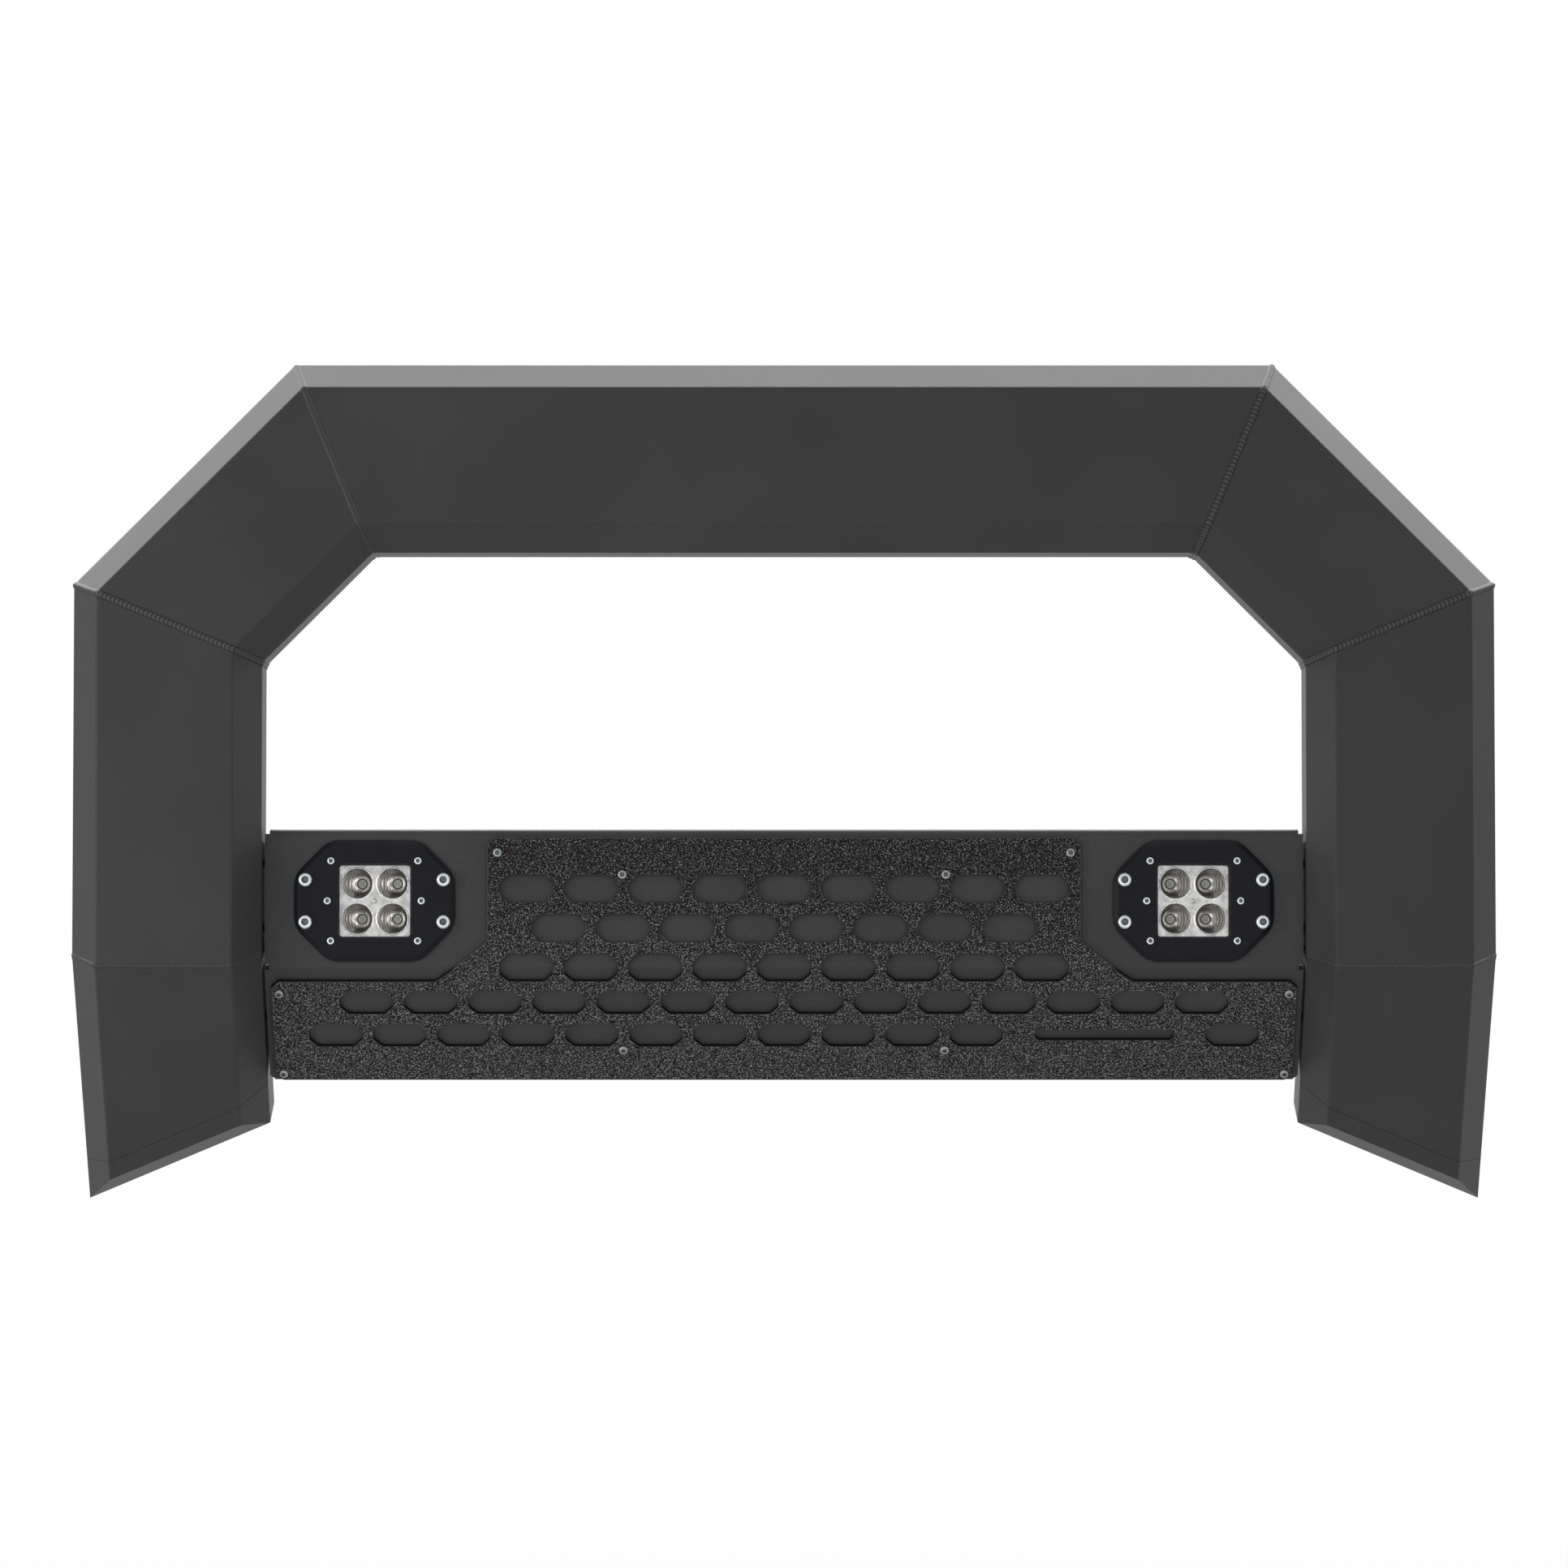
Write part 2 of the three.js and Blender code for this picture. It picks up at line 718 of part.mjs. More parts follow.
function housing() {
  const body = slab(rounded(rectangle(housingSize, housingSize), 5), -housingBack, housingFront);
  const cavity = slab(rounded(rectangle(housingCavity, housingCavity), 3), -housingFloor, 1);
  const finSpan = housingSize - 2 * finMargin;
  const finPitch = (finSpan - finThickness) / (finCount - 1);
  const fins = Array.from({ length: finCount }, (_, i) => {
    const x = (i - (finCount - 1) / 2) * finPitch;
    return slab(outline(rectangle(finThickness, finSpan, x)), -housingBack - finReach, 1 - housingBack);
  });
  return geometryOf(cut(join([body, ...fins]), [cavity]));
}

// A cable gland below the housing, with its open mouth pointing down.
function cableGland() {
  const base = -housingSize / 2 - gap;
  const collar = rod(gland.collar, 0, gland.collarLength, 0, 0, 6);
  const nut = turned([
    [0, gland.collarLength / 2],
    [gland.nut, gland.collarLength / 2],
    [gland.nut, gland.length - gland.taper],
    [gland.mouth, gland.length],
    [0, gland.length],
  ]);
  const bore = rod(gland.bore, gland.boreFloor, gland.length + 1, 0, 0, holeSides);
  const body = geometryOf(cut(join([collar, nut]), [bore]));
  return body.rotateX(Math.PI / 2).translate(0, base, -(housingFloor + housingBack) / 2);
}

// ---------- fasteners, along local z with the head's underside at z = 0 ----------
function buttonScrew(size) {
  const dome = [0, 0.45, 0.8].map((turn) => {
    const angle = (turn * Math.PI) / 2;
    return [size.head * (0.35 + 0.65 * Math.cos(angle)), size.height * (0.25 + 0.75 * Math.sin(angle))];
  });
  const profile = [[0, -size.length], [size.thread, -size.length], [size.thread, 0], [size.head, 0], ...dome];
  profile.push([0, size.height]);
  const socket = rod(size.key / Math.sqrt(3), size.height * 0.4, size.height + 1, 0, 0, 6);
  return geometryOf(cut(turned(profile, screwSides), [socket]));
}

function flangedBolt() {
  const shank = turned(
    [
      [0, -flangeBolt.length],
      [flangeBolt.thread, -flangeBolt.length],
      [flangeBolt.thread, 0],
      [flangeBolt.head, 0],
      [flangeBolt.head, flangeBolt.height * 0.6],
      [flangeBolt.head * 0.8, flangeBolt.height],
      [0, flangeBolt.height],
    ],
    screwSides,
  );
  const hex = rod(flangeBolt.hex / Math.sqrt(3), 1, flangeBolt.hexHeight, 0, 0, 6);
  return join([shank, hex]);
}

// ---------- assembly ----------
function sheetAxes(turn) {
  const axes = new THREE.Group();
  axes.position.set(0, panelDepth, bendHeight);
  axes.rotation.x = Math.PI / 2 + turn;
  return axes;
}

function lightAssembly(side) {
  const light = new THREE.Group();
  light.position.set(lightAcross, lightUp, 0);
  light.add(meshOf(`${side}_light_bezel`, bezel(), bezelCoat));
  light.add(meshOf(`${side}_light_lens`, lens(), clearLens));
  light.add(meshOf(`${side}_lens_gasket`, lensGasket(), blackRubber));
  light.add(meshOf(`${side}_reflector`, reflector(), mirrorFinish));
  light.add(meshOf(`${side}_led_board`, ledBoard(), boardWhite));
  light.add(meshOf(`${side}_light_housing`, housing(), castAluminium));
  light.add(meshOf(`${side}_cable_gland`, cableGland(), blackNylon));
  lightScrewPlaces().forEach(([x, y], i) => {
    const screw = meshOf(`${side}_light_screw_${i + 1}`, buttonScrew(lightScrew), bareSteel);
    screw.position.set(x, y, bezelFront + gap);
    light.add(screw);
  });
  return light;
}

function coverScrewSet(side, upper, lower) {
  coverScrews.forEach(([x, along], i) => {
    const screw = meshOf(`${side}_cover_screw_${i + 1}`, buttonScrew(coverScrew), bareSteel);
    screw.position.set(x, along, coverFront + gap);
    (along > 0 ? upper : lower).add(screw);
  });
}

function flangeBoltSet(side, upper, lower) {
  const head = panelHalf - sheet - gap;
  const places = flangeBolts.upperUp.map((up) => [upper, up, flangeBolts.upperBack]);
  places.push([lower, -flangeBolts.lowerDown, flangeBolts.lowerBack]);
  places.forEach(([axes, up, back], i) => {
    const bolt = meshOf(`${side}_flange_bolt_${i + 1}`, flangedBolt(), bareSteel);
    bolt.rotation.y = -Math.PI / 2;
    bolt.position.set(head, up, -back);
    axes.add(bolt);
  });
}

// One side of the bar. The left side is the right side mirrored.
function barSide(side, mirror) {
  const half = new THREE.Group();
  half.scale.x = mirror;
  half.add(meshOf(`${side}_corner_tube`, cornerTube(), powderCoat));
  half.add(meshOf(`${side}_upright_tube`, uprightTube(), powderCoat));
  half.add(meshOf(`${side}_lower_leg_tube`, lowerLegTube(), powderCoat));
  half.add(meshOf(`${side}_end_cap`, endCap(), powderCoat));
  half.add(meshOf(`${side}_top_weld`, mitreWeld(topCorner, 3 * mitreAngle), powderCoat));
  half.add(meshOf(`${side}_shoulder_weld`, mitreWeld(shoulder, mitreAngle), powderCoat));
  half.add(meshOf(`${side}_knee_weld`, kneeWeld(), powderCoat));
  half.add(meshOf(`${side}_mounting_plate`, mountingPlate(), powderCoat));
  const upper = sheetAxes(0);
  const lower = sheetAxes(kneeAngle);
  upper.add(lightAssembly(side));
  coverScrewSet(side, upper, lower);
  flangeBoltSet(side, upper, lower);
  half.add(upper, lower);
  return half;
}

const bar = new THREE.Group();
bar.add(meshOf("top_tube", topTube(), powderCoat));
bar.add(barSide("left", -1), barSide("right", 1));
const sheets = sheetAxes(0);
sheets.add(meshOf("light_panel", lightPanel(), panelCoat));
sheets.add(meshOf("cover_plate", coverPlate(), textureCoat));
bar.add(sheets);

// The part's origin lies on the centreline, midway between the two mounting plates' hole patterns.
bar.position.set(0, -mountHoleDepth, -mountHoleHeight);

const group = new THREE.Group();
group.add(bar);

export default group;
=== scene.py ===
"""Looks of a front bull bar: welded eight-sided tube, a bent light panel, a slotted cover plate with a
speckled coat, two flush work lights and their fasteners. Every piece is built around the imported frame."""
import json
import math

import bmesh
import bpy
from mathutils import Matrix, Vector
from mathutils.geometry import delaunay_2d_cdt

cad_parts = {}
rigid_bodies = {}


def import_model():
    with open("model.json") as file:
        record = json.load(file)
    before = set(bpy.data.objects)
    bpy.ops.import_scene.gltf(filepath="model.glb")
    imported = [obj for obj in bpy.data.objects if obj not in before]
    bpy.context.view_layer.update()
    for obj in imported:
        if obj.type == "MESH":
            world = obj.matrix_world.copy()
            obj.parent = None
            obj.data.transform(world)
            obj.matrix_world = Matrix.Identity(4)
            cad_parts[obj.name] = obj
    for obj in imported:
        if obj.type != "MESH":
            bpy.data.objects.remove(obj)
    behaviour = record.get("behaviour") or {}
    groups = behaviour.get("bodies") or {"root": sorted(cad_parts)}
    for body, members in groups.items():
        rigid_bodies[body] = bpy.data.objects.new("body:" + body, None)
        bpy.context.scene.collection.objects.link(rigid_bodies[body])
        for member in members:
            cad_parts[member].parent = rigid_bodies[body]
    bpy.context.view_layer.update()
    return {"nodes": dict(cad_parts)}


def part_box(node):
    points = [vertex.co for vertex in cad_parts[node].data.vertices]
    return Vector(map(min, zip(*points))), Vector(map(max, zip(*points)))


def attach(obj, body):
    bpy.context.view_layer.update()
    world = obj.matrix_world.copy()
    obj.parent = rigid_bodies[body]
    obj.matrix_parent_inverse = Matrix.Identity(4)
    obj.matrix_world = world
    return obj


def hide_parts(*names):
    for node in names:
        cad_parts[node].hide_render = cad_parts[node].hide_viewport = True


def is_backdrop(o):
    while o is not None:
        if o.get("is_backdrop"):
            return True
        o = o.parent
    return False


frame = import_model()

MM = 0.001

# ---------- sizes in millimetres ----------
# Tube section: the chamfers, the wall, and the press-brake radius of the long edges
CHAMFER_WIDTH = 20
CHAMFER_DEPTH = 27
TUBE_WALL = 3.2
TUBE_RADIUS = 3.2
CORNER_CUT = 164.4  # of the arch's corners, across and down alike
MITRE_ANGLE = math.pi / 8
KNEE_ANGLE = math.radians(35)
JOINT_TRIM = 2.5  # from a joint's plane to each tube's end, filled by the bead
LEG_LENGTH = 230

# Pointed end caps, in millimetres along the leg per millimetre across or in depth
CAP_SLOPE_ACROSS = 0.5
CAP_BEVEL_SLOPE = 0.98
CAP_END_SLOPE = 0.2
CAP_SEAM_SLOPE = 0.22
CAP_RIM = 16.5
CAP_SEAM = 0.15  # half the open seam above the cap

# Weld beads
BEAD_HALF = 2.75
BEAD_CROWN = 1.2
BEAD_ROOT = 2.4  # how far it reaches in below the tube's faces
BEAD_STEP = 0.55  # between its rings
RIPPLE_PITCH = 3.3
RIPPLE = 0.22
FILLET_LEG = 4.2

# Sheet metal, from the bend line along the sheet, and out from the panel's front face
SHEET = 3
BEND_RADIUS = 7
PANEL_TOP = 102.7
COVER_BACK = 0.3
COVER_TOP = 96.5
COVER_BOTTOM = -100.5
COVER_NECK = (221.5, 19)
COVER_SHOULDER = (260, -11)
COVER_HALF = 383
COVER_CLIP = 6
COVER_RADIUS = 3
SLOT = (39.6, 20.4)
SLOT_CLIP = 6.5
SLOT_RADIUS = 3
SLOT_PITCH = 48
SLOT_ROW_PITCH = 29.4
MIDDLE_ROW = -0.6
LONG_SLOT = (104, 9)
LONG_SLOT_CLIP = 3
PLAIN_RIM = 0.9  # of the cover's front, without texture
BEND_LINES = 6  # strips that the bend is folded in

# Work lights, in the panel's axes at the light's centre
BEZEL = (120, 90.6)
BEZEL_CLIP = 26
BEZEL_RADIUS = 20
BEZEL_BACK = 0.3
BEZEL_FRONT = 4.8
BEZEL_BEVEL = (3.6, 2.6)
WINDOW = (55, 55.5)
WINDOW_RADIUS = 3
LENS = 59.4
LENS_POCKET = (2.5, 3.0)
LENS_FACES = (0.2, 2.6)
GASKET = 64
GASKET_WINDOW = (52.6, 53)
GASKET_FACES = (-1.15, -0.15)
REFLECTOR = 56
REFLECTOR_FACES = (-14.5, -2.0)
CUP_PITCH = 26.3
CUP_MOUTH = 11.3
CUP_THROAT = 4.3
CUP_SHIFT = 3  # of the throat towards the bar's centreline
FLUTE_PITCH = 1.9
FLUTE = 0.1
LED_RING = (4.0, 2.95, 0.8)
LED_CHIP = (4.0, 0.6)
LIGHT_SCREWS = (51.4, 15.7)
QUARTERS = [(1, 1), (1, -1), (-1, 1), (-1, -1)]
BEZEL_SCREWS = [(32.4, 29.8), (35, 0), (32.4, -29.8), (-32.4, -29.8), (-35, 0), (-32.4, 29.8)]

# Screws: thread and head radius, head height, hex key size
M3 = {"thread": 1.45, "head": 2.9, "height": 1.65, "key": 2.0, "length": 6, "pitch": 0.5}
M4 = {"thread": 1.95, "head": 3.45, "height": 2.2, "key": 2.5, "length": 13, "pitch": 0.7}
M6 = {"thread": 2.95, "head": 5.35, "height": 3.2, "key": 4.4, "length": 18, "pitch": 1.0}
M4_NUT = {"across": 7, "height": 3.2}
M6_NUT = {"across": 10, "height": 5.0}
NUT_GAP = 0.6  # under a screw's head and behind the panel, together
FLANGE_BOLT = {"thread": 3.95, "flange": 8.5, "across": 13, "height": 7.5, "length": 18, "pitch": 1.25}
ROUND = 48

# ---------- places, from the frame ----------
top_low, top_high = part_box("top_tube")
leg_low, leg_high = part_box("right_upright_tube")
TUBE_WIDTH = (top_high.z - top_low.z) / MM
TUBE_DEPTH = (top_high.y - top_low.y) / MM
TUBE_HALF = TUBE_WIDTH / 2
ARCH_HALF = leg_high.x / MM
PANEL_BEND = 1  # the panel's bend line is this far above the legs' knee line
knee_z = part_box("light_panel")[1].z - (PANEL_TOP + PANEL_BEND) * MM
KNEE = Matrix.Translation((0, top_low.y, knee_z)) @ Matrix.Scale(MM, 4)
ARCH_HEIGHT = (top_high.z - knee_z) / MM
PANEL_DEPTH = (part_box("light_panel")[0].y - top_low.y) / MM

LEG_CENTRE = ARCH_HALF - TUBE_HALF
MITRE_SLOPE = math.tan(MITRE_ANGLE)
KNEE_SLOPE = math.tan(KNEE_ANGLE / 2)
TOP_CORNER = Vector((ARCH_HALF - CORNER_CUT - TUBE_HALF * MITRE_SLOPE, 0, ARCH_HEIGHT - TUBE_HALF))
SHOULDER = Vector((LEG_CENTRE, 0, ARCH_HEIGHT - CORNER_CUT - TUBE_HALF * MITRE_SLOPE))
KNEE_CENTRE = Vector((LEG_CENTRE, 0, 0))
ACROSS = Vector((1, 0, 0))
BACK = Vector((0, 1, 0))
UP = Vector((0, 0, 1))
LEG_BACK = Vector((0, math.cos(KNEE_ANGLE), math.sin(KNEE_ANGLE)))
LEG_UP = Vector((0, -math.sin(KNEE_ANGLE), math.cos(KNEE_ANGLE)))

MIRROR = {"left": Matrix.Scale(-1, 4, ACROSS), "right": Matrix.Identity(4)}
UPPER = KNEE @ Matrix.Translation((0, PANEL_DEPTH, PANEL_BEND)) @ Matrix.Rotation(math.pi / 2, 4, "X")
LOWER = UPPER @ Matrix.Rotation(KNEE_ANGLE, 4, "X")


# ---------- materials ----------
def surface(name, **values):
    """A material whose Principled shader has these constants."""
    made = bpy.data.materials.new(name)
    made.use_nodes = True
    shader = made.node_tree.nodes["Principled BSDF"]
    for key, value in values.items():
        socket = shader.inputs[key.replace("_", " ")]
        socket.default_value = (*value, 1) if isinstance(value, tuple) else value
    return made


def add(made, kind, inputs=(), **settings):
    """A new node with its settings, and its inputs set to numbers or linked to other nodes' outputs."""
    node = made.node_tree.nodes.new(kind)
    for key, value in settings.items():
        setattr(node, key, value)
    for key, value in dict(inputs).items():
        if isinstance(value, bpy.types.NodeSocket):
            made.node_tree.links.new(value, node.inputs[key])
        else:
            node.inputs[key].default_value = value
    return node


def drive(made, key, output):
    made.node_tree.links.new(output, made.node_tree.nodes["Principled BSDF"].inputs[key])


def grain(made, scale, detail=3.0, roughness=0.6, stretch=(1, 1, 1)):
    """Noise in the part's own space. Scale is in cells to a metre."""
    place = add(made, "ShaderNodeTexCoord").outputs["Object"]
    stretched = add(made, "ShaderNodeMapping", {"Vector": place, "Scale": stretch}).outputs["Vector"]
    node = add(
        made, "ShaderNodeTexNoise",
        {"Vector": stretched, "Scale": scale, "Detail": detail, "Roughness": roughness},
    )
    return node.outputs["Fac"]


def ramp(made, value, stops):
    """Colours along a value from 0 to 1, each stop a place and a grey or a colour."""
    node = add(made, "ShaderNodeValToRGB", {"Fac": value})
    while len(node.color_ramp.elements) < len(stops):
        node.color_ramp.elements.new(0.5)
    for element, (place, colour) in zip(node.color_ramp.elements, stops):
        element.position = place
        element.color = (*colour, 1) if isinstance(colour, tuple) else (colour, colour, colour, 1)
    return node.outputs["Color"]


def bump(made, height, strength, distance, under=None):
    inputs = {"Height": height, "Strength": strength, "Distance": distance}
    if under is not None:
        inputs["Normal"] = under
    return add(made, "ShaderNodeBump", inputs).outputs["Normal"]


def span(made, value, low, high):
    """A value from 0 to 1 spread over another range."""
    return add(made, "ShaderNodeMapRange", {"Value": value, "To Min": low, "To Max": high}).outputs["Result"]


def powder_coat(name, dark, light, peel=0.12):
    """Satin powder paint: faint orange peel, a fine grain and slow changes of tone."""
    made = surface(name, Specular_IOR_Level=0.2)
    slow = grain(made, 7, 2)
    fine = grain(made, 900, 2, 0.7)
    mixed = add(made, "ShaderNodeMath", {0: slow, 1: fine}, operation="MULTIPLY").outputs[0]
    drive(made, "Base Color", ramp(made, mixed, [(0.12, dark), (0.42, light)]))
    drive(made, "Roughness", span(made, slow, 0.46, 0.54))
    skin = bump(made, grain(made, 300, 1, 0.4), peel, 0.0001)
    drive(made, "Normal", bump(made, fine, 0.1, 0.00002, skin))
    return made


def painted_light_attribute(made):
    """The painted light and shade its builder gave each corner of the mesh, from 0 to 1."""
    return add(made, "ShaderNodeAttribute", attribute_name="tone").outputs["Fac"]


def weld_coat():
    """The same powder paint on a weld bead: painted highlights where the bead stands up, painted shade in its
    dips.
    """
    made = powder_coat("weld_coat", 0.018, 0.03, 0.1)
    # painted shade in the dips, rising to painted highlights on the crests
    stops = [(0.0, 0.012), (0.4, 0.0245), (0.6, 0.032), (0.95, 0.05)]
    drive(made, "Base Color", ramp(made, painted_light_attribute(made), stops))
    return made


def textured_coat():
    """Coarse two-tone texture paint: light and dark grains about a millimetre wide, with real relief. Painted
    shade darkens the grains on the upright face more than below the bend."""
    made = surface("textured_coat")
    place = add(made, "ShaderNodeTexCoord").outputs["Object"]
    height = add(made, "ShaderNodeSeparateXYZ", {"Vector": place}).outputs["Z"]
    # painted shade: the speckle is lowered on the upright face, less so below the bend
    fall = add(made, "ShaderNodeMapRange", {"Value": height, "From Min": 0.02, "From Max": -0.06})
    upright_painted_shade = span(made, fall.outputs["Result"], -0.045, -0.005)
    grains = grain(made, 940, 1.5, 0.6)
    speckle = add(made, "ShaderNodeMath", {0: grains, 1: upright_painted_shade}, operation="ADD").outputs[0]
    stops = [(0.37, 0.001), (0.46, 0.007), (0.56, 0.042), (0.68, 0.17)]
    drive(made, "Base Color", ramp(made, speckle, stops))
    drive(made, "Specular IOR Level", span(made, speckle, 0.0, 0.3))
    drive(made, "Roughness", span(made, grains, 0.85, 0.5))
    drive(made, "Normal", bump(made, grains, 0.6, 0.0005))
    return made


def plain_paint(name, colour, roughness, specular=0.2):
    """Smooth paint with a little grain."""
    made = surface(name, Specular_IOR_Level=specular)
    fine = grain(made, 600, 3)
    drive(made, "Base Color", ramp(made, fine, [(0.3, colour), (0.7, tuple(1.25 * c for c in colour))]))
    drive(made, "Roughness", span(made, fine, roughness - 0.05, roughness + 0.05))
    drive(made, "Normal", bump(made, fine, 0.06, 0.0002))
    return made


def metal(name, colour, roughness, scale, strength, shade=0.82):
    """Bare or plated metal with fine scratches and a mottled shine."""
    made = surface(name, Metallic=1.0)
    marks = grain(made, scale, 4, 0.7)
    patches = grain(made, 160, 2)
    drive(made, "Base Color", ramp(made, patches, [(0.35, tuple(shade * c for c in colour)), (0.65, colour)]))
    drive(made, "Roughness", span(made, marks, roughness * 0.7, roughness * 1.4))
    drive(made, "Normal", bump(made, marks, strength, 0.0002))
    return made


def cup_mirror():
    """The lamp cups' bright plating, with painted reflections: the dark and warm tones a deep bowl mirrors.
    """
    made = surface("cup_mirror", Metallic=1.0)
    streaks = span(made, grain(made, 260, 3, 0.7, (2.2, 1, 0.6)), -0.22, 0.22)
    mixed = add(made, "ShaderNodeMath", {0: painted_light_attribute(made), 1: streaks}, operation="ADD").outputs[0]
    # painted reflections and shade: dark at each cup's bottom, warm greys in the bowl, bright flutes and lip
    stops = [(0.05, 0.01), (0.28, (0.2, 0.18, 0.165)), (0.5, (0.42, 0.385, 0.35)), (0.68, 0.72), (0.88, 1.0)]
    drive(made, "Base Color", ramp(made, mixed, stops))
    drive(made, "Roughness", span(made, streaks, 0.25, 0.35))
    return made


def clear_plastic():
    """The clear lens: a thin see-through sheet with a sharp shine."""
    made = surface("clear_lens", Roughness=0.03, Alpha=0.07, Specular_IOR_Level=0.8)
    drive(made, "Base Color", ramp(made, grain(made, 90, 2), [(0.3, (0.1, 0.105, 0.11)), (0.7, 0.14)]))
    drive(made, "Normal", bump(made, grain(made, 60, 1), 0.02, 0.0003))
    return made


POWDER = powder_coat("powder_coat", 0.0195, 0.0295)
WELD_COAT = weld_coat()
PANEL_COAT = powder_coat("panel_coat", (0.0205, 0.0215, 0.0212), (0.0315, 0.033, 0.0325), 0.1)
TEXTURED = textured_coat()
# near-black painted shade on the cover's cut edges, slot walls and back, where shade falls around it
EDGE_PAINTED_SHADE = plain_paint("edge_painted_shade", (0.0035, 0.0035, 0.0036), 0.6, 0.1)
RIM_PAINT = plain_paint("rim_paint", (0.02, 0.02, 0.02), 0.5)
BEZEL_COAT = plain_paint("bezel_coat", (0.0052, 0.0053, 0.0075), 0.42, 0.1)
ZINC = metal("zinc_steel", (0.6, 0.63, 0.65), 0.34, 2500, 0.15)
DULL_ZINC = metal("dull_zinc_steel", (0.3, 0.31, 0.32), 0.5, 2500, 0.2)
# painted shade in the hex sockets: near-black walls, and a darkened plated metal on their floors
SOCKET = plain_paint("socket_shade", (0.03, 0.035, 0.038), 0.5)
SOCKET_FLOOR_SHADE = metal("socket_floor_shade", (0.11, 0.14, 0.155), 0.5, 2500, 0.2)
BRIGHT_SCREW = [ZINC, SOCKET, SOCKET_FLOOR_SHADE]
DULL_SCREW = [DULL_ZINC, SOCKET, SOCKET_FLOOR_SHADE]
MIRROR_FINISH = metal("mirror_finish", (0.7, 0.7, 0.69), 0.34, 700, 0.6, 0.62)
CUP_FINISH = cup_mirror()
LENS_CLEAR = clear_plastic()
RUBBER = plain_paint("gasket_rubber", (0.006, 0.006, 0.006), 0.75)
BOARD = plain_paint("led_board", (0.55, 0.56, 0.52), 0.5, 0.4)
CHIP = plain_paint("led_chip", (0.26, 0.26, 0.23), 0.35, 0.5)
CHIP_RING = plain_paint("led_ring", (0.035, 0.032, 0.028), 0.4, 0.3)
CAST = plain_paint("cast_housing", (0.012, 0.012, 0.013), 0.5, 0.4)
NYLON = plain_paint("gland_nylon", (0.008, 0.008, 0.008), 0.45, 0.4)


# ---------- meshes ----------
def finished(name, shape, matrix, materials, nodes=(), crease=34):
    """The piece made of this mesh: placed, smoothed but for its sharp edges, and riding on the bar."""
    shape.transform(matrix)
    bmesh.ops.recalc_face_normals(shape, faces=shape.faces)
    for edge in shape.edges:
        edge.smooth = edge.calc_face_angle(math.pi) < math.radians(crease)
    for face in shape.faces:
        face.smooth = True
    mesh = bpy.data.meshes.new(name)
    shape.to_mesh(mesh)
    shape.free()
    piece = bpy.data.objects.new(name, mesh)
    bpy.context.scene.collection.objects.link(piece)
    for made in materials:
        mesh.materials.append(made)
    weighted = piece.modifiers.new("flat_faces", "WEIGHTED_NORMAL")
    weighted.keep_sharp = True
    weighted.weight = 100
    if nodes:
        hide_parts(*nodes)
    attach(piece, "root")
    return piece


def basis(x_axis, y_axis, origin):
    z_axis = x_axis.cross(y_axis)
    matrix = Matrix((x_axis, y_axis, z_axis)).transposed().to_4x4()
    matrix.translation = origin
    return matrix


def fillet(points, radius, steps):
    """The closed outline with each corner turned into an arc."""
    corners = [Vector(p) for p in points]
    made = []
    for i, corner in enumerate(corners):
        to_last = (corners[i - 1] - corner).normalized()
        to_next = (corners[(i + 1) % len(corners)] - corner).normalized()
        turn = math.pi - to_last.angle(to_next)
        centre = corner + (to_last + to_next).normalized() * radius / math.cos(turn / 2)
        reach = radius * math.tan(turn / 2)
        start = corner + to_last * reach - centre
        end = corner + to_next * reach - centre
        for k in range(steps + 1):
            part = turn * k / steps
            made.append(centre + (start * math.sin(turn - part) + end * math.sin(part)) / math.sin(turn))
    return made


def rectangle(width, height, x=0, y=0):
    w, h = width / 2, height / 2
    return [(x - w, y - h), (x + w, y - h), (x + w, y + h), (x - w, y + h)]


def clipped(width, height, clip, x=0, y=0):
    """A rectangle with its corners cut off at 45 degrees."""
    w, h = width / 2, height / 2
    quarter = [(w - clip, -h), (w, clip - h), (w, h - clip), (w - clip, h)]
    return [(x + a, y + b) for a, b in quarter] + [(x - a, y - b) for a, b in quarter]


def circle(radius, x=0, y=0, count=ROUND):
    turns = [2 * math.pi * i / count for i in range(count)]
    return [Vector((x + radius * math.cos(t), y + radius * math.sin(t))) for t in turns]


def area(points):
    return sum(a[0] * b[1] - b[0] * a[1] for a, b in zip(points, [*points[1:], points[0]])) / 2


def offset(points, inset):
    """The outline moved to its left by the inset, corner by corner."""
    count = len(points)
    made = []
    for i, point in enumerate(points):
        before = (point - points[i - 1]).normalized()
        after = (points[(i + 1) % count] - point).normalized()
        first, second = Vector((-before.y, before.x)), Vector((-after.y, after.x))
        made.append(point + (first + second) * inset / (1 + first.dot(second)))
    return made


def inside(x, y, points):
    found = False
    for (ax, ay), (bx, by) in zip(points, [*points[1:], points[0]]):
        if (ay > y) != (by > y) and x < ax + (bx - ax) * (y - ay) / (by - ay):
            found = not found
    return found


def fill(shape, rings, ties, material):
    """Triangles between the outer ring and the holes, with extra edges along the ties."""
    verts = [vert for ring in rings for vert in ring]
    places = {vert: i for i, vert in enumerate(verts)}
    edges = [(places[a], places[b]) for ring in rings for a, b in zip(ring, [*ring[1:], ring[0]])]
    edges += [(places[a], places[b]) for a, b in ties]
    result = delaunay_2d_cdt([vert.co.xy for vert in verts], edges, [], 1, 1e-7)
    holes = []
    for ring in rings[1:]:
        points = [(vert.co.x, vert.co.y) for vert in ring]
        xs, ys = zip(*points)
        holes.append((min(xs), max(xs), min(ys), max(ys), points))
    for corners in result[2]:
        x = sum(result[0][c].x for c in corners) / 3
        y = sum(result[0][c].y for c in corners) / 3
        near = [h for h in holes if h[0] < x < h[1] and h[2] < y < h[3]]
        if not any(inside(x, y, hole[4]) for hole in near):
            face = shape.faces.new([verts[result[3][c][0]] for c in corners])
            face.material_index = material


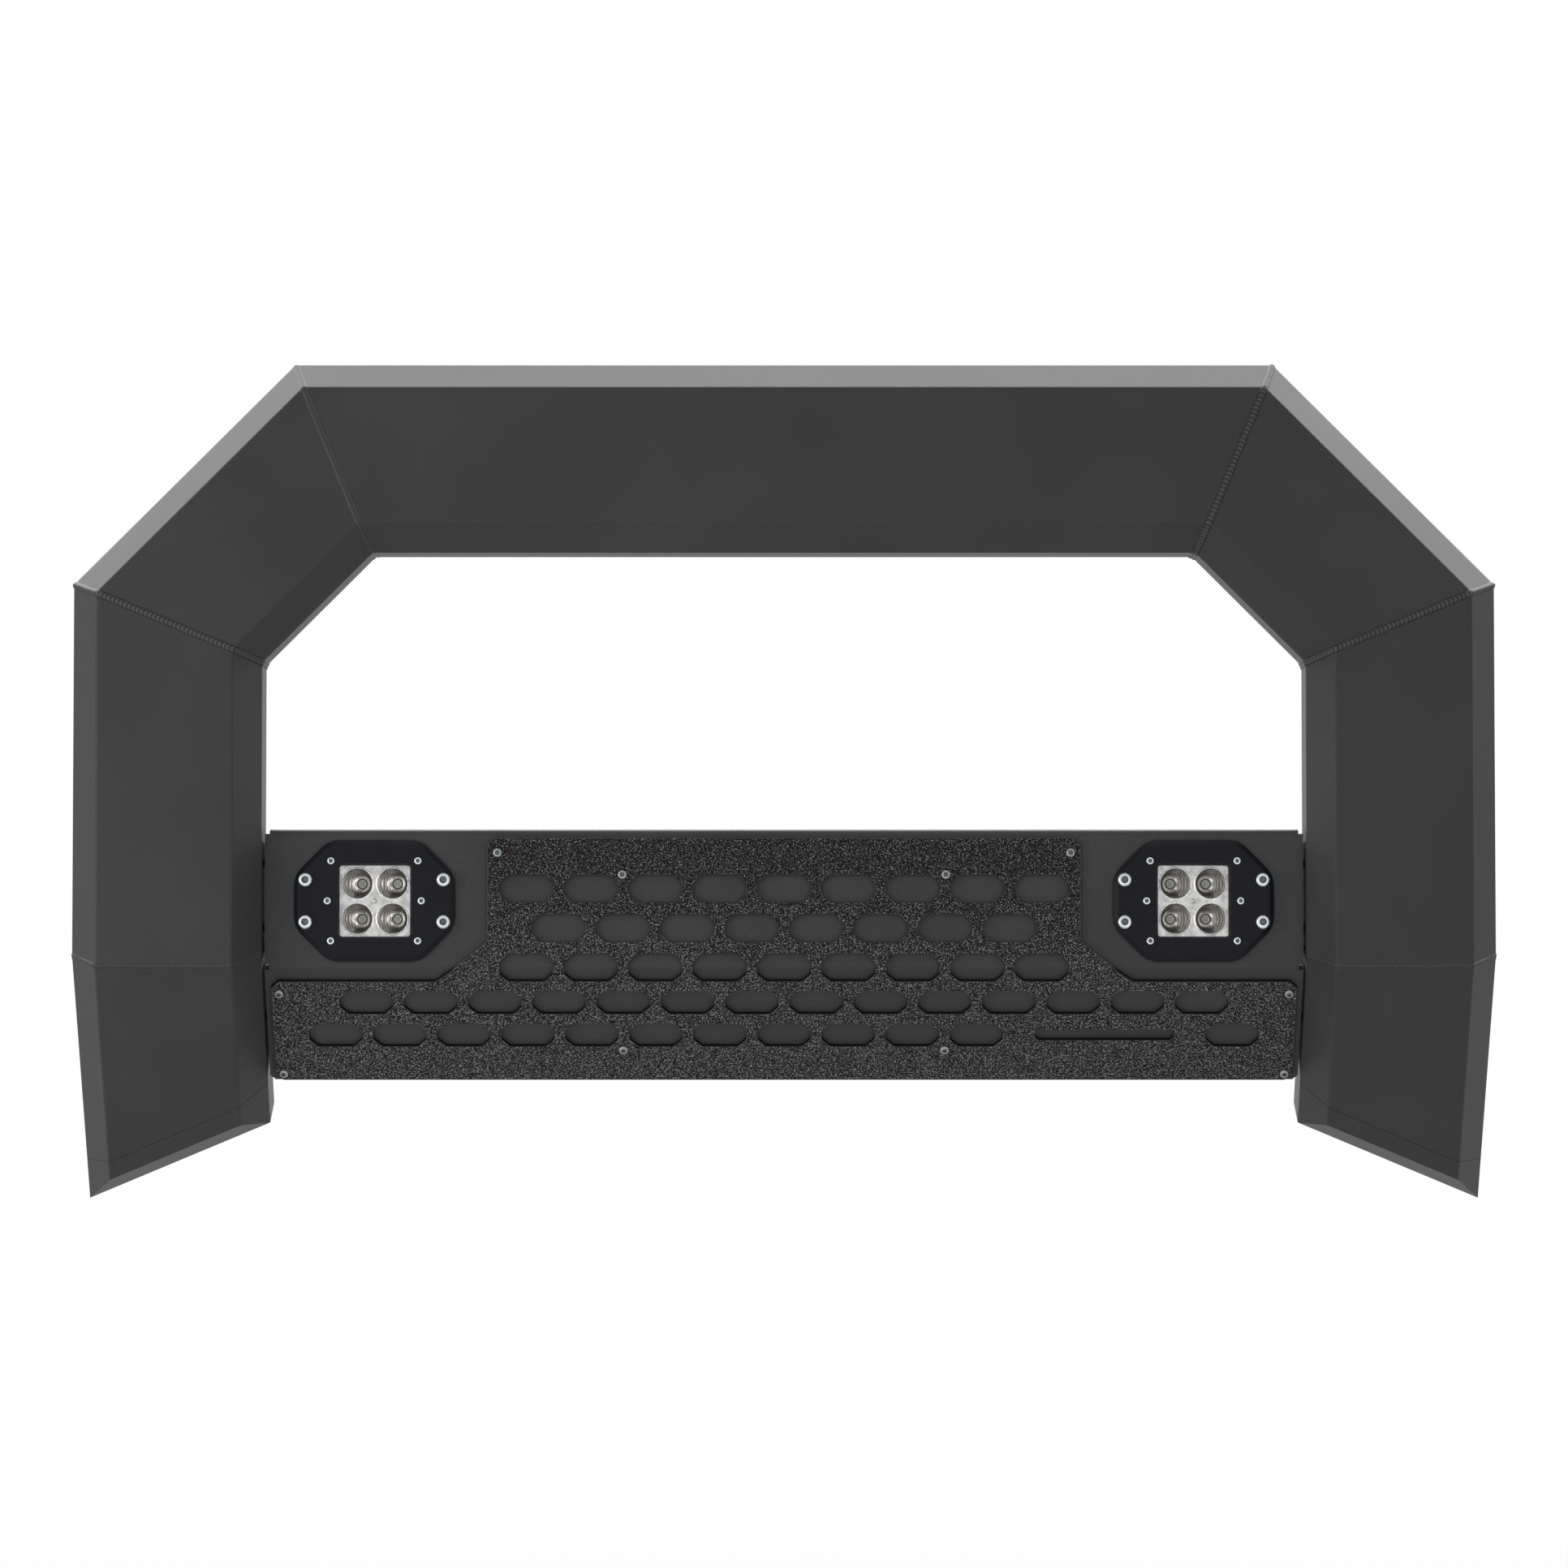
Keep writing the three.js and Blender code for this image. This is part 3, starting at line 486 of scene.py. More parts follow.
def with_lines(points, lines):
    """The outline with a corner added wherever it crosses one of these heights."""
    made = []
    for a, b in zip(points, [*points[1:], points[0]]):
        made.append(Vector(a))
        crossed = [line for line in lines if min(a[1], b[1]) < line < max(a[1], b[1])]
        for line in sorted(crossed, reverse=a[1] > b[1]):
            part = (line - a[1]) / (b[1] - a[1])
            made.append(Vector((a[0] + part * (b[0] - a[0]), line)))
    return made


def plate(loops, faces=(0, 0), lines=()):
    """A flat body. A loop is an outline and its steps, the outside first and then the holes. Each step
    (inset, height, material) is a ring round the loop, from the back face to the front one."""
    shape = bmesh.new()
    backs, fronts, crossings = [], [], {line: [] for line in lines}
    for number, (points, steps) in enumerate(loops):
        points = with_lines(points, lines)
        if (area(points) > 0) == (number > 0):
            points.reverse()
        rings = []
        for inset, height, _ in steps:
            rings.append([shape.verts.new((*place, height)) for place in offset(points, inset)])
        for low, high, step in zip(rings, rings[1:], steps[1:]):
            for i in range(len(points)):
                face = shape.faces.new((low[i - 1], low[i], high[i], high[i - 1]))
                face.material_index = step[2]
        backs.append(rings[0])
        fronts.append(rings[-1])
        for i, point in enumerate(points):
            for line in lines:
                if abs(point.y - line) < 1e-6:
                    crossings[line].append((point.x, rings[0][i], rings[-1][i]))
    ties = [[], []]
    for found in crossings.values():
        found.sort(key=lambda crossing: crossing[0])
        for a, b in zip(found[::2], found[1::2]):
            ties[0].append((a[1], b[1]))
            ties[1].append((a[2], b[2]))
    fill(shape, backs, ties[0], faces[0])
    fill(shape, fronts, ties[1], faces[1])
    return shape


def rim(back, front, ease):
    """Steps of a plain edge between two faces, eased at both."""
    steps = [(ease, back), (0.3 * ease, back + 0.3 * ease), (0, back + ease)]
    steps += [(0, front - ease), (0.3 * ease, front - 0.3 * ease), (ease, front)]
    return [(inset, height, 0) for inset, height in steps]


def turned(rings, count=ROUND, closed=False):
    """A body of rings round the z axis. A ring is a radius, a height, for a hexagon the drop of its corners
    or None for a circle, and the material of the wall that leads to it. The ends are filled unless the
    rings close on themselves."""
    shape = bmesh.new()
    made = []
    for radius, height, *more in rings:
        ring = []
        for i in range(count):
            turn = 2 * math.pi * i / count
            reach, drop = radius, 0
            if more and more[0] is not None:
                reach = radius / math.cos((turn + math.pi / 6) % (math.pi / 3) - math.pi / 6)
                drop = (reach - radius) * more[0]
            ring.append(shape.verts.new((reach * math.cos(turn), reach * math.sin(turn), height - drop)))
        made.append((ring, more[1] if len(more) > 1 else 0))
    pairs = list(zip(made, made[1:]))
    if closed:
        pairs.append((made[-1], made[0]))
    for (low, _), (high, material) in pairs:
        for i in range(count):
            face = shape.faces.new((low[i - 1], low[i], high[i], high[i - 1]))
            face.material_index = material
    if not closed:
        shape.faces.new(made[0][0])
        shape.faces.new(made[-1][0]).material_index = made[-1][1]
    return shape


def threads(radius, low, high, pitch):
    """Rings of a screw thread from a low height to a high one."""
    depth = 0.55 * pitch
    count = int((high - low) / pitch)
    rings = []
    for i in range(count):
        z = low + i * pitch
        rings += [(radius - depth, z), (radius, z + 0.42 * pitch), (radius, z + 0.58 * pitch)]
    return [*rings, (radius - depth, low + count * pitch)]


def merge(shape, other):
    """Adds another mesh to this one."""
    mesh = bpy.data.meshes.new("merged")
    other.to_mesh(mesh)
    shape.from_mesh(mesh)
    other.free()
    bpy.data.meshes.remove(mesh)


def refined(node, name, width, materials, segments=2, smallest=25):
    """A copy of a CAD node with its flat faces made whole and its edges rounded."""
    shape = bmesh.new()
    shape.from_mesh(frame["nodes"][node].data)
    bmesh.ops.remove_doubles(shape, verts=shape.verts, dist=1e-6)
    bmesh.ops.dissolve_limit(
        shape, angle_limit=math.radians(0.5), verts=shape.verts, edges=shape.edges,
        use_dissolve_boundaries=False,
    )
    sharp = [e for e in shape.edges if e.calc_face_angle(0) > math.radians(smallest)]
    bmesh.ops.bevel(
        shape, geom=sharp, offset=width * MM, segments=segments, profile=0.5,
        affect="EDGES", clamp_overlap=True,
    )
    return finished(name, shape, Matrix.Identity(4), materials, [node])


# ---------- tube work ----------
def section(grow=0.0, radius=TUBE_RADIUS):
    """The tube's outline, every side moved out: x across it, y in depth from its front."""
    slope = math.hypot(CHAMFER_WIDTH, CHAMFER_DEPTH)
    across, back = CHAMFER_DEPTH / slope, CHAMFER_WIDTH / slope
    face = TUBE_HALF - CHAMFER_WIDTH + grow * (1 - back) / across
    side = TUBE_HALF + grow
    front = CHAMFER_DEPTH - grow * (1 - across) / back
    rear = TUBE_DEPTH - front
    half = [(face, -grow), (side, front), (side, rear), (face, TUBE_DEPTH + grow)]
    return fillet(half + [(-x, y) for x, y in reversed(half)], radius, 6)


def plane(at, per_x=0.0, per_y=0.0):
    """The height along a tube of a sloping plane, at a point of its section."""
    return lambda point: at + per_x * point.x + per_y * point.y


def tube(low, high):
    """A hollow tube along local z, each end cut by a plane."""
    shape = bmesh.new()
    rings = []
    for points in (section(), section(-TUBE_WALL, TUBE_RADIUS - TUBE_WALL)):
        for end in (low, high):
            rings.append([shape.verts.new((p.x, p.y, end(p))) for p in points])
    outer_low, outer_high, inner_low, inner_high = rings
    walls = [(outer_low, outer_high), (inner_high, inner_low)]
    walls += [(inner_low, outer_low), (outer_high, inner_high)]
    for a, b in walls:
        for i in range(len(a)):
            shape.faces.new((a[i - 1], a[i], b[i], b[i - 1]))
    return shape


MITRE_TRIM = JOINT_TRIM / math.cos(MITRE_ANGLE)
KNEE_TRIM = JOINT_TRIM / math.cos(KNEE_ANGLE / 2)
TIP = CAP_SLOPE_ACROSS * TUBE_HALF - LEG_LENGTH
BEVEL_AT = CAP_BEVEL_SLOPE * CHAMFER_DEPTH + TIP
END_AT = CAP_END_SLOPE * CHAMFER_DEPTH + TIP


def both_ends(length):
    return plane(MITRE_TRIM, -MITRE_SLOPE), plane(length - MITRE_TRIM, MITRE_SLOPE)


def top_tube():
    shape = tube(*both_ends(2 * TOP_CORNER.x))
    matrix = KNEE @ basis(UP, BACK, TOP_CORNER)
    finished("top_tube_skin", shape, matrix, [POWDER], ["top_tube"])


def corner_tube(side):
    shape = tube(*both_ends((SHOULDER - TOP_CORNER).length))
    matrix = MIRROR[side] @ KNEE @ basis(Vector((1, 0, 1)).normalized(), BACK, SHOULDER)
    finished(f"{side}_corner_skin", shape, matrix, [POWDER], [f"{side}_corner_tube"])


def upright_tube(side):
    shape = tube(plane(KNEE_TRIM, 0, KNEE_SLOPE), plane(SHOULDER.z - MITRE_TRIM, MITRE_SLOPE))
    matrix = MIRROR[side] @ KNEE @ basis(ACROSS, BACK, KNEE_CENTRE)
    finished(f"{side}_upright_skin", shape, matrix, [POWDER], [f"{side}_upright_tube"])


def lower_leg_tube(side):
    seam = plane(BEVEL_AT + CAP_RIM + CAP_SEAM, -CAP_SLOPE_ACROSS, -CAP_SEAM_SLOPE)
    shape = tube(seam, plane(-KNEE_TRIM, 0, -KNEE_SLOPE))
    matrix = MIRROR[side] @ KNEE @ basis(ACROSS, LEG_BACK, KNEE_CENTRE)
    finished(f"{side}_lower_leg_skin", shape, matrix, [POWDER], [f"{side}_lower_leg_tube"])


def sliced(shape, at, per_x, per_y):
    """Cuts away what lies below a sloping plane, and closes the cut."""
    parts = [*shape.verts, *shape.edges, *shape.faces]
    normal = Vector((per_x, per_y, -1))
    cut = bmesh.ops.bisect_plane(shape, geom=parts, plane_co=(0, 0, at), plane_no=normal, clear_outer=True)
    edges = [e for e in cut["geom_cut"] if isinstance(e, bmesh.types.BMEdge)]
    bmesh.ops.edgeloop_fill(shape, edges=edges)


def end_cap(side):
    """The pointed cap: a closed end with a bevel to the front and a narrow open seam above."""
    shape = bmesh.new()
    seam = plane(BEVEL_AT + CAP_RIM - CAP_SEAM, -CAP_SLOPE_ACROSS, -CAP_SEAM_SLOPE)
    points = section()
    high = [shape.verts.new((p.x, p.y, seam(p))) for p in points]
    low = [shape.verts.new((p.x, p.y, -2 * LEG_LENGTH)) for p in points]
    for i in range(len(points)):
        shape.faces.new((low[i - 1], low[i], high[i], high[i - 1]))
    shape.faces.new(high)
    shape.faces.new(list(reversed(low)))
    sliced(shape, END_AT, -CAP_SLOPE_ACROSS, -CAP_END_SLOPE)
    sliced(shape, BEVEL_AT, -CAP_SLOPE_ACROSS, -CAP_BEVEL_SLOPE)
    bmesh.ops.recalc_face_normals(shape, faces=shape.faces)
    sharp = [e for e in shape.edges if e.calc_face_angle(0) > math.radians(25)]
    bmesh.ops.bevel(
        shape, geom=sharp, offset=0.8, segments=3, profile=0.5, affect="EDGES", clamp_overlap=True
    )
    matrix = MIRROR[side] @ KNEE @ basis(ACROSS, LEG_BACK, KNEE_CENTRE)
    finished(f"{side}_cap_skin", shape, matrix, [POWDER], [f"{side}_end_cap"])


# ---------- weld beads ----------
def ripple(distance, across):
    """The crescent ripple of a weld bead, from 0 to 1, at a distance along it and a place across it."""
    phase = (distance / RIPPLE_PITCH + 0.42 * across * across) % 1
    return 0.5 - 0.5 * math.cos(2 * math.pi * phase**0.6)


def ridge(across, middle, width):
    """A smooth hump across a bead, from 0 to 1."""
    return math.exp(-(((across - middle) / width) ** 2))


def as_welded(distance, across):
    """A bead's height and tone where it was left alone: a crown of ripples, with painted highlights on their
    crests.
    """
    dome = math.sqrt(max(0.0, 1 - across * across))
    crest = ripple(distance, across)
    return (BEAD_CROWN - RIPPLE + RIPPLE * crest) * dome - 0.1 * (1 - dome), dome * crest


def ground_back(distance, across):
    """Where it was ground back: two soft low ridges that drift a little, one wider than the other, with
    painted highlights along them.
    """
    drift = 0.06 * math.sin(distance / 11)
    ridges = max(ridge(across, drift - 0.42, 0.36), 0.8 * ridge(across, drift + 0.6, 0.2))
    return 0.15 - 0.35 * across**8 + 0.35 * ridges, 0.35 + 0.3 * ridges


def stitched(distance, across):
    """Where it is small and uneven: a shallow seam broken into dashes, beside a low ridge, with painted
    shade in the seam and a painted highlight on the ridge.
    """
    drift = 0.12 * math.sin(distance / 7) + 0.08 * math.sin(distance / 2.3)
    dash = 0.5 + 0.5 * math.sin(1.5 * distance + 2 * math.sin(distance / 13))
    seam = dash * ridge(across, drift - 0.1, 0.25)
    side = ridge(across, drift + 0.45, 0.25)
    return 0.3 - 0.45 * across**8 - 0.25 * seam + 0.2 * side, 0.4 - 0.4 * seam + 0.15 * side


def bead(stretch_x, stretch_y, fall, profile, wander):
    """A bead round a joint's plane. Fall gives how steeply the tubes drop away from the plane at a point
    whose outward normal on the section is known, and profile the bead's height and painted light across it."""
    outline = section()
    points = [Vector((p.x * stretch_x, p.y * stretch_y)) for p in outline]
    if area(points) < 0:
        points.reverse()
        outline.reverse()
    stations = []
    total = 0.0
    count = len(points)
    for i, point in enumerate(points):
        ahead = points[(i + 1) % count]
        length = (ahead - point).length
        plain = (outline[(i + 1) % count] - outline[i]).normalized()
        steps = max(1, round(length / BEAD_STEP))
        for k in range(steps):
            place = point.lerp(ahead, k / steps)
            stations.append((place, total + length * k / steps, Vector((plain.y, -plain.x))))
        total += length
    shape = bmesh.new()
    tone = shape.verts.layers.float.new("tone")
    rows = []
    spread = 12
    for i, (point, distance, normal) in enumerate(stations):
        after = stations[(i + 1) % len(stations)]
        along = (after[0] - stations[i - 1][0]).normalized()
        out = Vector((along.y, -along.x))
        normal = (normal + after[2] + stations[i - 1][2]).normalized()
        drop = fall(normal)
        angle = 2 * math.pi * distance / total
        half = BEAD_HALF * (1 + wander * (math.sin(17 * angle) + 0.6 * math.sin(41 * angle + 1)))
        row = []
        for k in range(spread + 1):
            across = 2 * k / spread - 1
            height, shade = profile(distance, across)
            height -= abs(across) * half * drop
            vert = shape.verts.new((*(point + out * height), across * half))
            # the painted light and shade of this corner, for the weld paint
            vert[tone] = shade
            row.append(vert)
        for across in (0.7, -0.7):
            root = -BEAD_ROOT - 0.7 * half * drop
            row.append(shape.verts.new((*(point + out * root), across * half)))
        rows.append(row)
    for i, row in enumerate(rows):
        for k in range(len(row)):
            shape.faces.new((rows[i - 1][k - 1], row[k - 1], row[k], rows[i - 1][k]))
    return shape


def mitre_fall(normal):
    """How steeply the tubes drop away on each side of a mitre, where their outline faces this way."""
    return normal.x * math.sin(MITRE_ANGLE) / math.hypot(normal.x * math.cos(MITRE_ANGLE), normal.y)


def knee_fall(normal):
    """The same at a knee, where the front drops away and the back rises."""
    half = KNEE_ANGLE / 2
    return -normal.y * math.sin(half) / math.hypot(normal.x, normal.y * math.cos(half))


def weld_beads(side):
    places = {"top": (TOP_CORNER, 3 * MITRE_ANGLE), "shoulder": (SHOULDER, MITRE_ANGLE)}
    for joint, (corner, angle) in places.items():
        profile = ground_back if (side, joint) == ("left", "top") else as_welded
        shape = bead(1 / math.cos(MITRE_ANGLE), 1, mitre_fall, profile, 0.04)
        out = Vector((math.cos(angle), 0, math.sin(angle)))
        matrix = MIRROR[side] @ KNEE @ basis(out, BACK, corner)
        node = f"{side}_{joint}_weld"
        finished(f"{side}_{joint}_bead", shape, matrix, [WELD_COAT], [node], 60)
    shape = bead(1, 1 / math.cos(KNEE_ANGLE / 2), knee_fall, stitched, 0.04)
    back = Vector((0, math.cos(KNEE_ANGLE / 2), math.sin(KNEE_ANGLE / 2)))
    matrix = MIRROR[side] @ KNEE @ basis(ACROSS, back, KNEE_CENTRE)
    finished(f"{side}_knee_bead", shape, matrix, [WELD_COAT], [f"{side}_knee_weld"], 60)


def fillet_bead(start, end, away):
    """A rippled fillet weld from start to end, in the corner between a wall and a plate. Away holds the
    directions out along the wall and along the plate."""
    shape = bmesh.new()
    tone = shape.verts.layers.float.new("tone")
    length = (end - start).length
    steps = round(length / 0.6)
    spread = 8
    rows = []
    for i in range(steps + 1):
        point = start.lerp(end, i / steps)
        ease = math.sqrt(max(0.0, 1 - (abs(2 * i / steps - 1)) ** 40))
        row = []
        for k in range(spread + 1):
            turn = math.pi / 2 * k / spread
            crest = ripple(length * i / steps, 2 * k / spread - 1)
            fall = FILLET_LEG * (0.78 + 0.22 * abs(math.cos(2 * turn)))
            reach = max(0.3, ease * (fall + RIPPLE * crest))
            side = away[0] * math.cos(turn) + away[1] * math.sin(turn)
            vert = shape.verts.new(point + reach * side)
            # painted highlight on the ripple's crest
            vert[tone] = crest
            row.append(vert)
        row.append(shape.verts.new(point))
        rows.append(row)
    for low, high in zip(rows, rows[1:]):
        for k in range(len(low)):
            shape.faces.new((low[k - 1], low[k], high[k], high[k - 1]))
    shape.faces.new(rows[0])
    shape.faces.new(list(reversed(rows[-1])))
    return shape


# ---------- mounting plates ----------
MOUNT_HALF = 4
MOUNT_TOP = 150
MOUNT_REACH = 118
MOUNT_RELIEF = 9
FILLET_INSET = 5


def mounting_plate(side):
    node = f"{side}_mounting_plate"
    refined(node, f"{side}_mount_gusset", 0.7, [POWDER], 3)
    behind = TUBE_DEPTH + 0.15
    bend = behind * KNEE_SLOPE
    runs = {
        "upper": (BACK * behind, UP, bend + MOUNT_RELIEF, MOUNT_TOP),
        "lower": (LEG_BACK * behind, LEG_UP, -MOUNT_REACH, -bend - MOUNT_RELIEF),
    }
    for run, (base, along, low, high) in runs.items():
        away_back = BACK if run == "upper" else LEG_BACK
        shape = bmesh.new()
        for face in (1, -1):
            foot = KNEE_CENTRE + base + ACROSS * face * MOUNT_HALF
            ends = [foot + along * place for place in (low + FILLET_INSET, high - FILLET_INSET)]
            merge(shape, fillet_bead(*ends, (ACROSS * face, away_back)))
        finished(f"{side}_{run}_gusset_weld", shape, MIRROR[side] @ KNEE, [WELD_COAT], [], 60)


# ---------- sheet metal ----------
BEND_HALF = BEND_RADIUS * KNEE_SLOPE


def folded(shape):
    """Bends a sheet made flat: what is below the bend line turns back by the knee angle."""
    for vert in shape.verts:
        x, y, z = vert.co
        if y > BEND_HALF:
            continue
        turn = min(1.0, (BEND_HALF - y) / (2 * BEND_HALF)) * KNEE_ANGLE
        reach = BEND_RADIUS + z
        past = min(0.0, y + BEND_HALF)
        vert.co.y = BEND_HALF - reach * math.sin(turn) + past * math.cos(turn)
        vert.co.z = reach * math.cos(turn) - BEND_RADIUS + past * math.sin(turn)
    return shape


def cover_outline():
    """The cover plate's outline on the flat sheet, the right half and then its mirror."""
    half = [
        (COVER_HALF - COVER_CLIP, COVER_BOTTOM),
        (COVER_HALF, COVER_BOTTOM + COVER_CLIP),
        (COVER_HALF, COVER_SHOULDER[1] - COVER_CLIP),
        (COVER_HALF - COVER_CLIP, COVER_SHOULDER[1]),
        COVER_SHOULDER,
        COVER_NECK,
        (COVER_NECK[0], COVER_TOP - COVER_CLIP),
        (COVER_NECK[0] - COVER_CLIP, COVER_TOP),
    ]
    return fillet(half + [(-x, y) for x, y in reversed(half)], COVER_RADIUS, 4)


def row_places(count):
    return [(i - (count - 1) / 2) * SLOT_PITCH for i in range(count)]


def slot_outlines():
    """Rows of 9 and 8 slots above the bend, 9 across it, 14 and 15 below. In the lowest row one long slot
    takes the place of three."""
    long_at = 5 * SLOT_PITCH
    lowest = [x for x in row_places(15) if abs(x - long_at) > 1.5 * SLOT_PITCH]
    rows = {2: row_places(9), 1: row_places(8), 0: row_places(9), -1: row_places(14), -2: lowest}
    made = []
    for step, places in rows.items():
        made += [clipped(*SLOT, SLOT_CLIP, x, MIDDLE_ROW + step * SLOT_ROW_PITCH) for x in places]
    made = [fillet(points, SLOT_RADIUS, 4) for points in made]
    long_slot = clipped(*LONG_SLOT, LONG_SLOT_CLIP, long_at, MIDDLE_ROW - 2 * SLOT_ROW_PITCH)
    return [*made, fillet(long_slot, 1.5, 4)]


def cover_plate():
    front = COVER_BACK + SHEET
    # the edge's walls and the back take the near-black painted shade, the front's rounded rim the rim paint
    rounded_edge = [(0.3, COVER_BACK, 1), (0, COVER_BACK + 0.3, 1), (0, front - 0.5, 1)]
    rounded_edge += [(0.15, front - 0.15, 1), (0.5, front, 2)]
    outside = (cover_outline(), [*rounded_edge, (PLAIN_RIM, front, 2)])
    slots = [(points, rounded_edge) for points in slot_outlines()]
    lines = [BEND_HALF * (2 * i / BEND_LINES - 1) for i in range(BEND_LINES + 1)]
    shape = folded(plate([outside, *slots], (1, 0), lines))
    materials = [TEXTURED, EDGE_PAINTED_SHADE, RIM_PAINT]
    finished("slotted_cover", shape, UPPER, materials, ["cover_plate"])


def light_panel():
    refined("light_panel", "bent_light_panel", 0.35, [PANEL_COAT], smallest=20)


# ---------- fasteners ----------
def seat(node, axes, size):
    """Where a CAD screw's head sits, from its solid: its axis, and the underside of its head."""
    turn_back = axes.inverted()
    points = [turn_back @ vert.co for vert in frame["nodes"][node].data.vertices]
    middle = [(min(p[k] for p in points) + max(p[k] for p in points)) / 2 for k in (0, 1)]
    top = max(p.z for p in points)
    return axes @ Matrix.Translation((*middle, top - size["height"]))


def button_screw(size):
    """A button-head screw with a hexagon socket, its head's underside at z = 0."""
    head, height = size["head"], size["height"]
    low = -size["length"]
    shank = [(size["thread"] * 0.72, low), (size["thread"] * 0.8, low + 0.3)]
    shank += threads(size["thread"], low + 0.5, -0.8, size["pitch"])
    dome = []
    for k in range(9):
        turn = math.pi / 2 * k / 8
        dome.append((head * (0.62 + 0.38 * math.cos(turn)), height * (0.3 + 0.7 * math.sin(turn))))
    key = size["key"] / 2
    # the socket's walls take the second material and its floor the third, both painted shade
    socket = [(key + 0.5, height), (key + 0.25, height - 0.2, 0, 1), (key, height - 0.45, 0, 1)]
    socket += [(key, height * 0.4, 0, 1), (key * 0.9, height * 0.38, 0, 1)]
    socket += [(key * 0.3, height * 0.34, None, 2)]
    under = [(size["thread"], -0.6), (size["thread"], 0), (head - 0.2, 0), (head, 0.15)]
    return turned([*shank, *under, *dome, *socket])


def hex_nut(size, bore):
    across = size["across"] / 2
    height = size["height"]
    outside = [(bore + 0.5, 0), (across - 0.2, 0), (across, 0.25, -0.5), (across, height - 0.25, 0.5)]
    inside_ring = [(bore + 0.5, height), (bore, height - 0.5), (bore, 0.5)]
    return turned([*outside, (across - 0.2, height), *inside_ring], closed=True)


def cover_screws(side):
    for i in range(1, 6):
        node = f"{side}_cover_screw_{i}"
        axes = UPPER if i < 3 else LOWER
        matrix = seat(node, axes, M4)
        finished(f"{side}_m4_screw_{i}", button_screw(M4), matrix, DULL_SCREW, [node])
        behind = COVER_BACK + SHEET + NUT_GAP + SHEET
        nut = matrix @ Matrix.Translation((0, 0, -behind - M4_NUT["height"]))
        shape = hex_nut(M4_NUT, M4["thread"])
        finished(f"{side}_m4_nut_{i}", shape, nut, [DULL_ZINC])


def light_screws(side, light):
    for i in range(1, 5):
        node = f"{side}_light_screw_{i}"
        matrix = seat(node, UPPER, M6)
        finished(f"{side}_m6_screw_{i}", button_screw(M6), matrix, BRIGHT_SCREW, [node])
        behind = BEZEL_FRONT + NUT_GAP + SHEET
        nut = matrix @ Matrix.Translation((0, 0, -behind - M6_NUT["height"]))
        finished(f"{side}_m6_nut_{i}", hex_nut(M6_NUT, M6["thread"]), nut, [DULL_ZINC])
    for i, (x, y) in enumerate(BEZEL_SCREWS):
        matrix = light @ Matrix.Translation((x, y, BEZEL_FRONT + 0.05))
        finished(f"{side}_m3_screw_{i + 1}", button_screw(M3), matrix, BRIGHT_SCREW)


def flange_bolts(side):
    """Hex flange bolts from inside the panel's side flanges into the legs."""
    size = FLANGE_BOLT
    across, height = size["across"] / 2, size["height"]
    shank = [(size["thread"] * 0.75, -size["length"])]
    shank += threads(size["thread"], 0.6 - size["length"], -2, size["pitch"])
    flange = [(size["thread"], 0), (size["flange"] - 0.2, 0), (size["flange"], 0.3), (size["flange"], 1)]
    head = [(size["flange"] * 0.86, 1.9), (across, 2.2, 0), (across, height - 0.4, 0.5)]
    crown = [(across - 0.3, height), (across - 1.6, height), (across - 2.4, height - 0.7)]
    for i in range(1, 4):
        node = f"{side}_flange_bolt_{i}"
        low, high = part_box(node)
        middle = (low + high) / 2
        inward = -1 if side == "right" else 1
        place = Vector((high.x if inward < 0 else low.x, middle.y, middle.z))
        place.x += inward * size["length"] * MM
        turned_in = Matrix.Rotation(inward * math.pi / 2, 4, "Y")
        matrix = Matrix.Translation(place) @ turned_in @ Matrix.Scale(MM, 4)
        shape = turned([*shank, *flange, *head, *crown])
        finished(f"{side}_hex_flange_bolt_{i}", shape, matrix, [DULL_ZINC], [node])


# ---------- work lights ----------
def bezel(side, light):
    width, height, front = *BEZEL, BEZEL_FRONT
    outer = fillet(clipped(width, height, BEZEL_CLIP), BEZEL_RADIUS, 10)
    run, drop = BEZEL_BEVEL
    steps = [(0.4, BEZEL_BACK), (0, BEZEL_BACK + 0.4), (0, front - drop - 0.3), (0.15, front - drop - 0.05)]
    steps += [(run - 0.4, front - 0.2), (run, front - 0.03), (run + 0.4, front)]
    window = fillet(rectangle(*WINDOW), WINDOW_RADIUS, 6)
    wide, deep = LENS_POCKET
    inner = [(wide, BEZEL_BACK), (wide, deep), (0.2, deep), (0, deep + 0.2), (0, front - 0.6)]
    inner += [(0.18, front - 0.18), (0.6, front)]
    loops = [(outer, [(*s, 0) for s in steps]), (window, [(*s, 0) for s in inner])]
    x, y = LIGHT_SCREWS
    bolts = [circle(M6["thread"] + 0.2, a * x, b * y) for a, b in QUARTERS]
    small = [circle(M3["thread"] + 0.1, *place, 24) for place in BEZEL_SCREWS]
    loops += [(points, rim(BEZEL_BACK, front, 0.2)) for points in bolts + small]
    node = f"{side}_light_bezel"
    finished(f"{side}_bevelled_bezel", plate(loops), light, [BEZEL_COAT], [node])


def lens_and_gasket(side, light):
    square = fillet(rectangle(LENS, LENS), 2, 5)
    shape = plate([(square, rim(*LENS_FACES, 0.4))])
    finished(f"{side}_clear_lens", shape, light, [LENS_CLEAR], [f"{side}_light_lens"])
    edge = rim(*GASKET_FACES, 0.25)
    ring = [(fillet(rectangle(GASKET, GASKET), 4, 6), edge), (fillet(rectangle(*GASKET_WINDOW), 2, 6), edge)]
    finished(f"{side}_square_gasket", plate(ring), light, [RUBBER], [f"{side}_lens_gasket"])


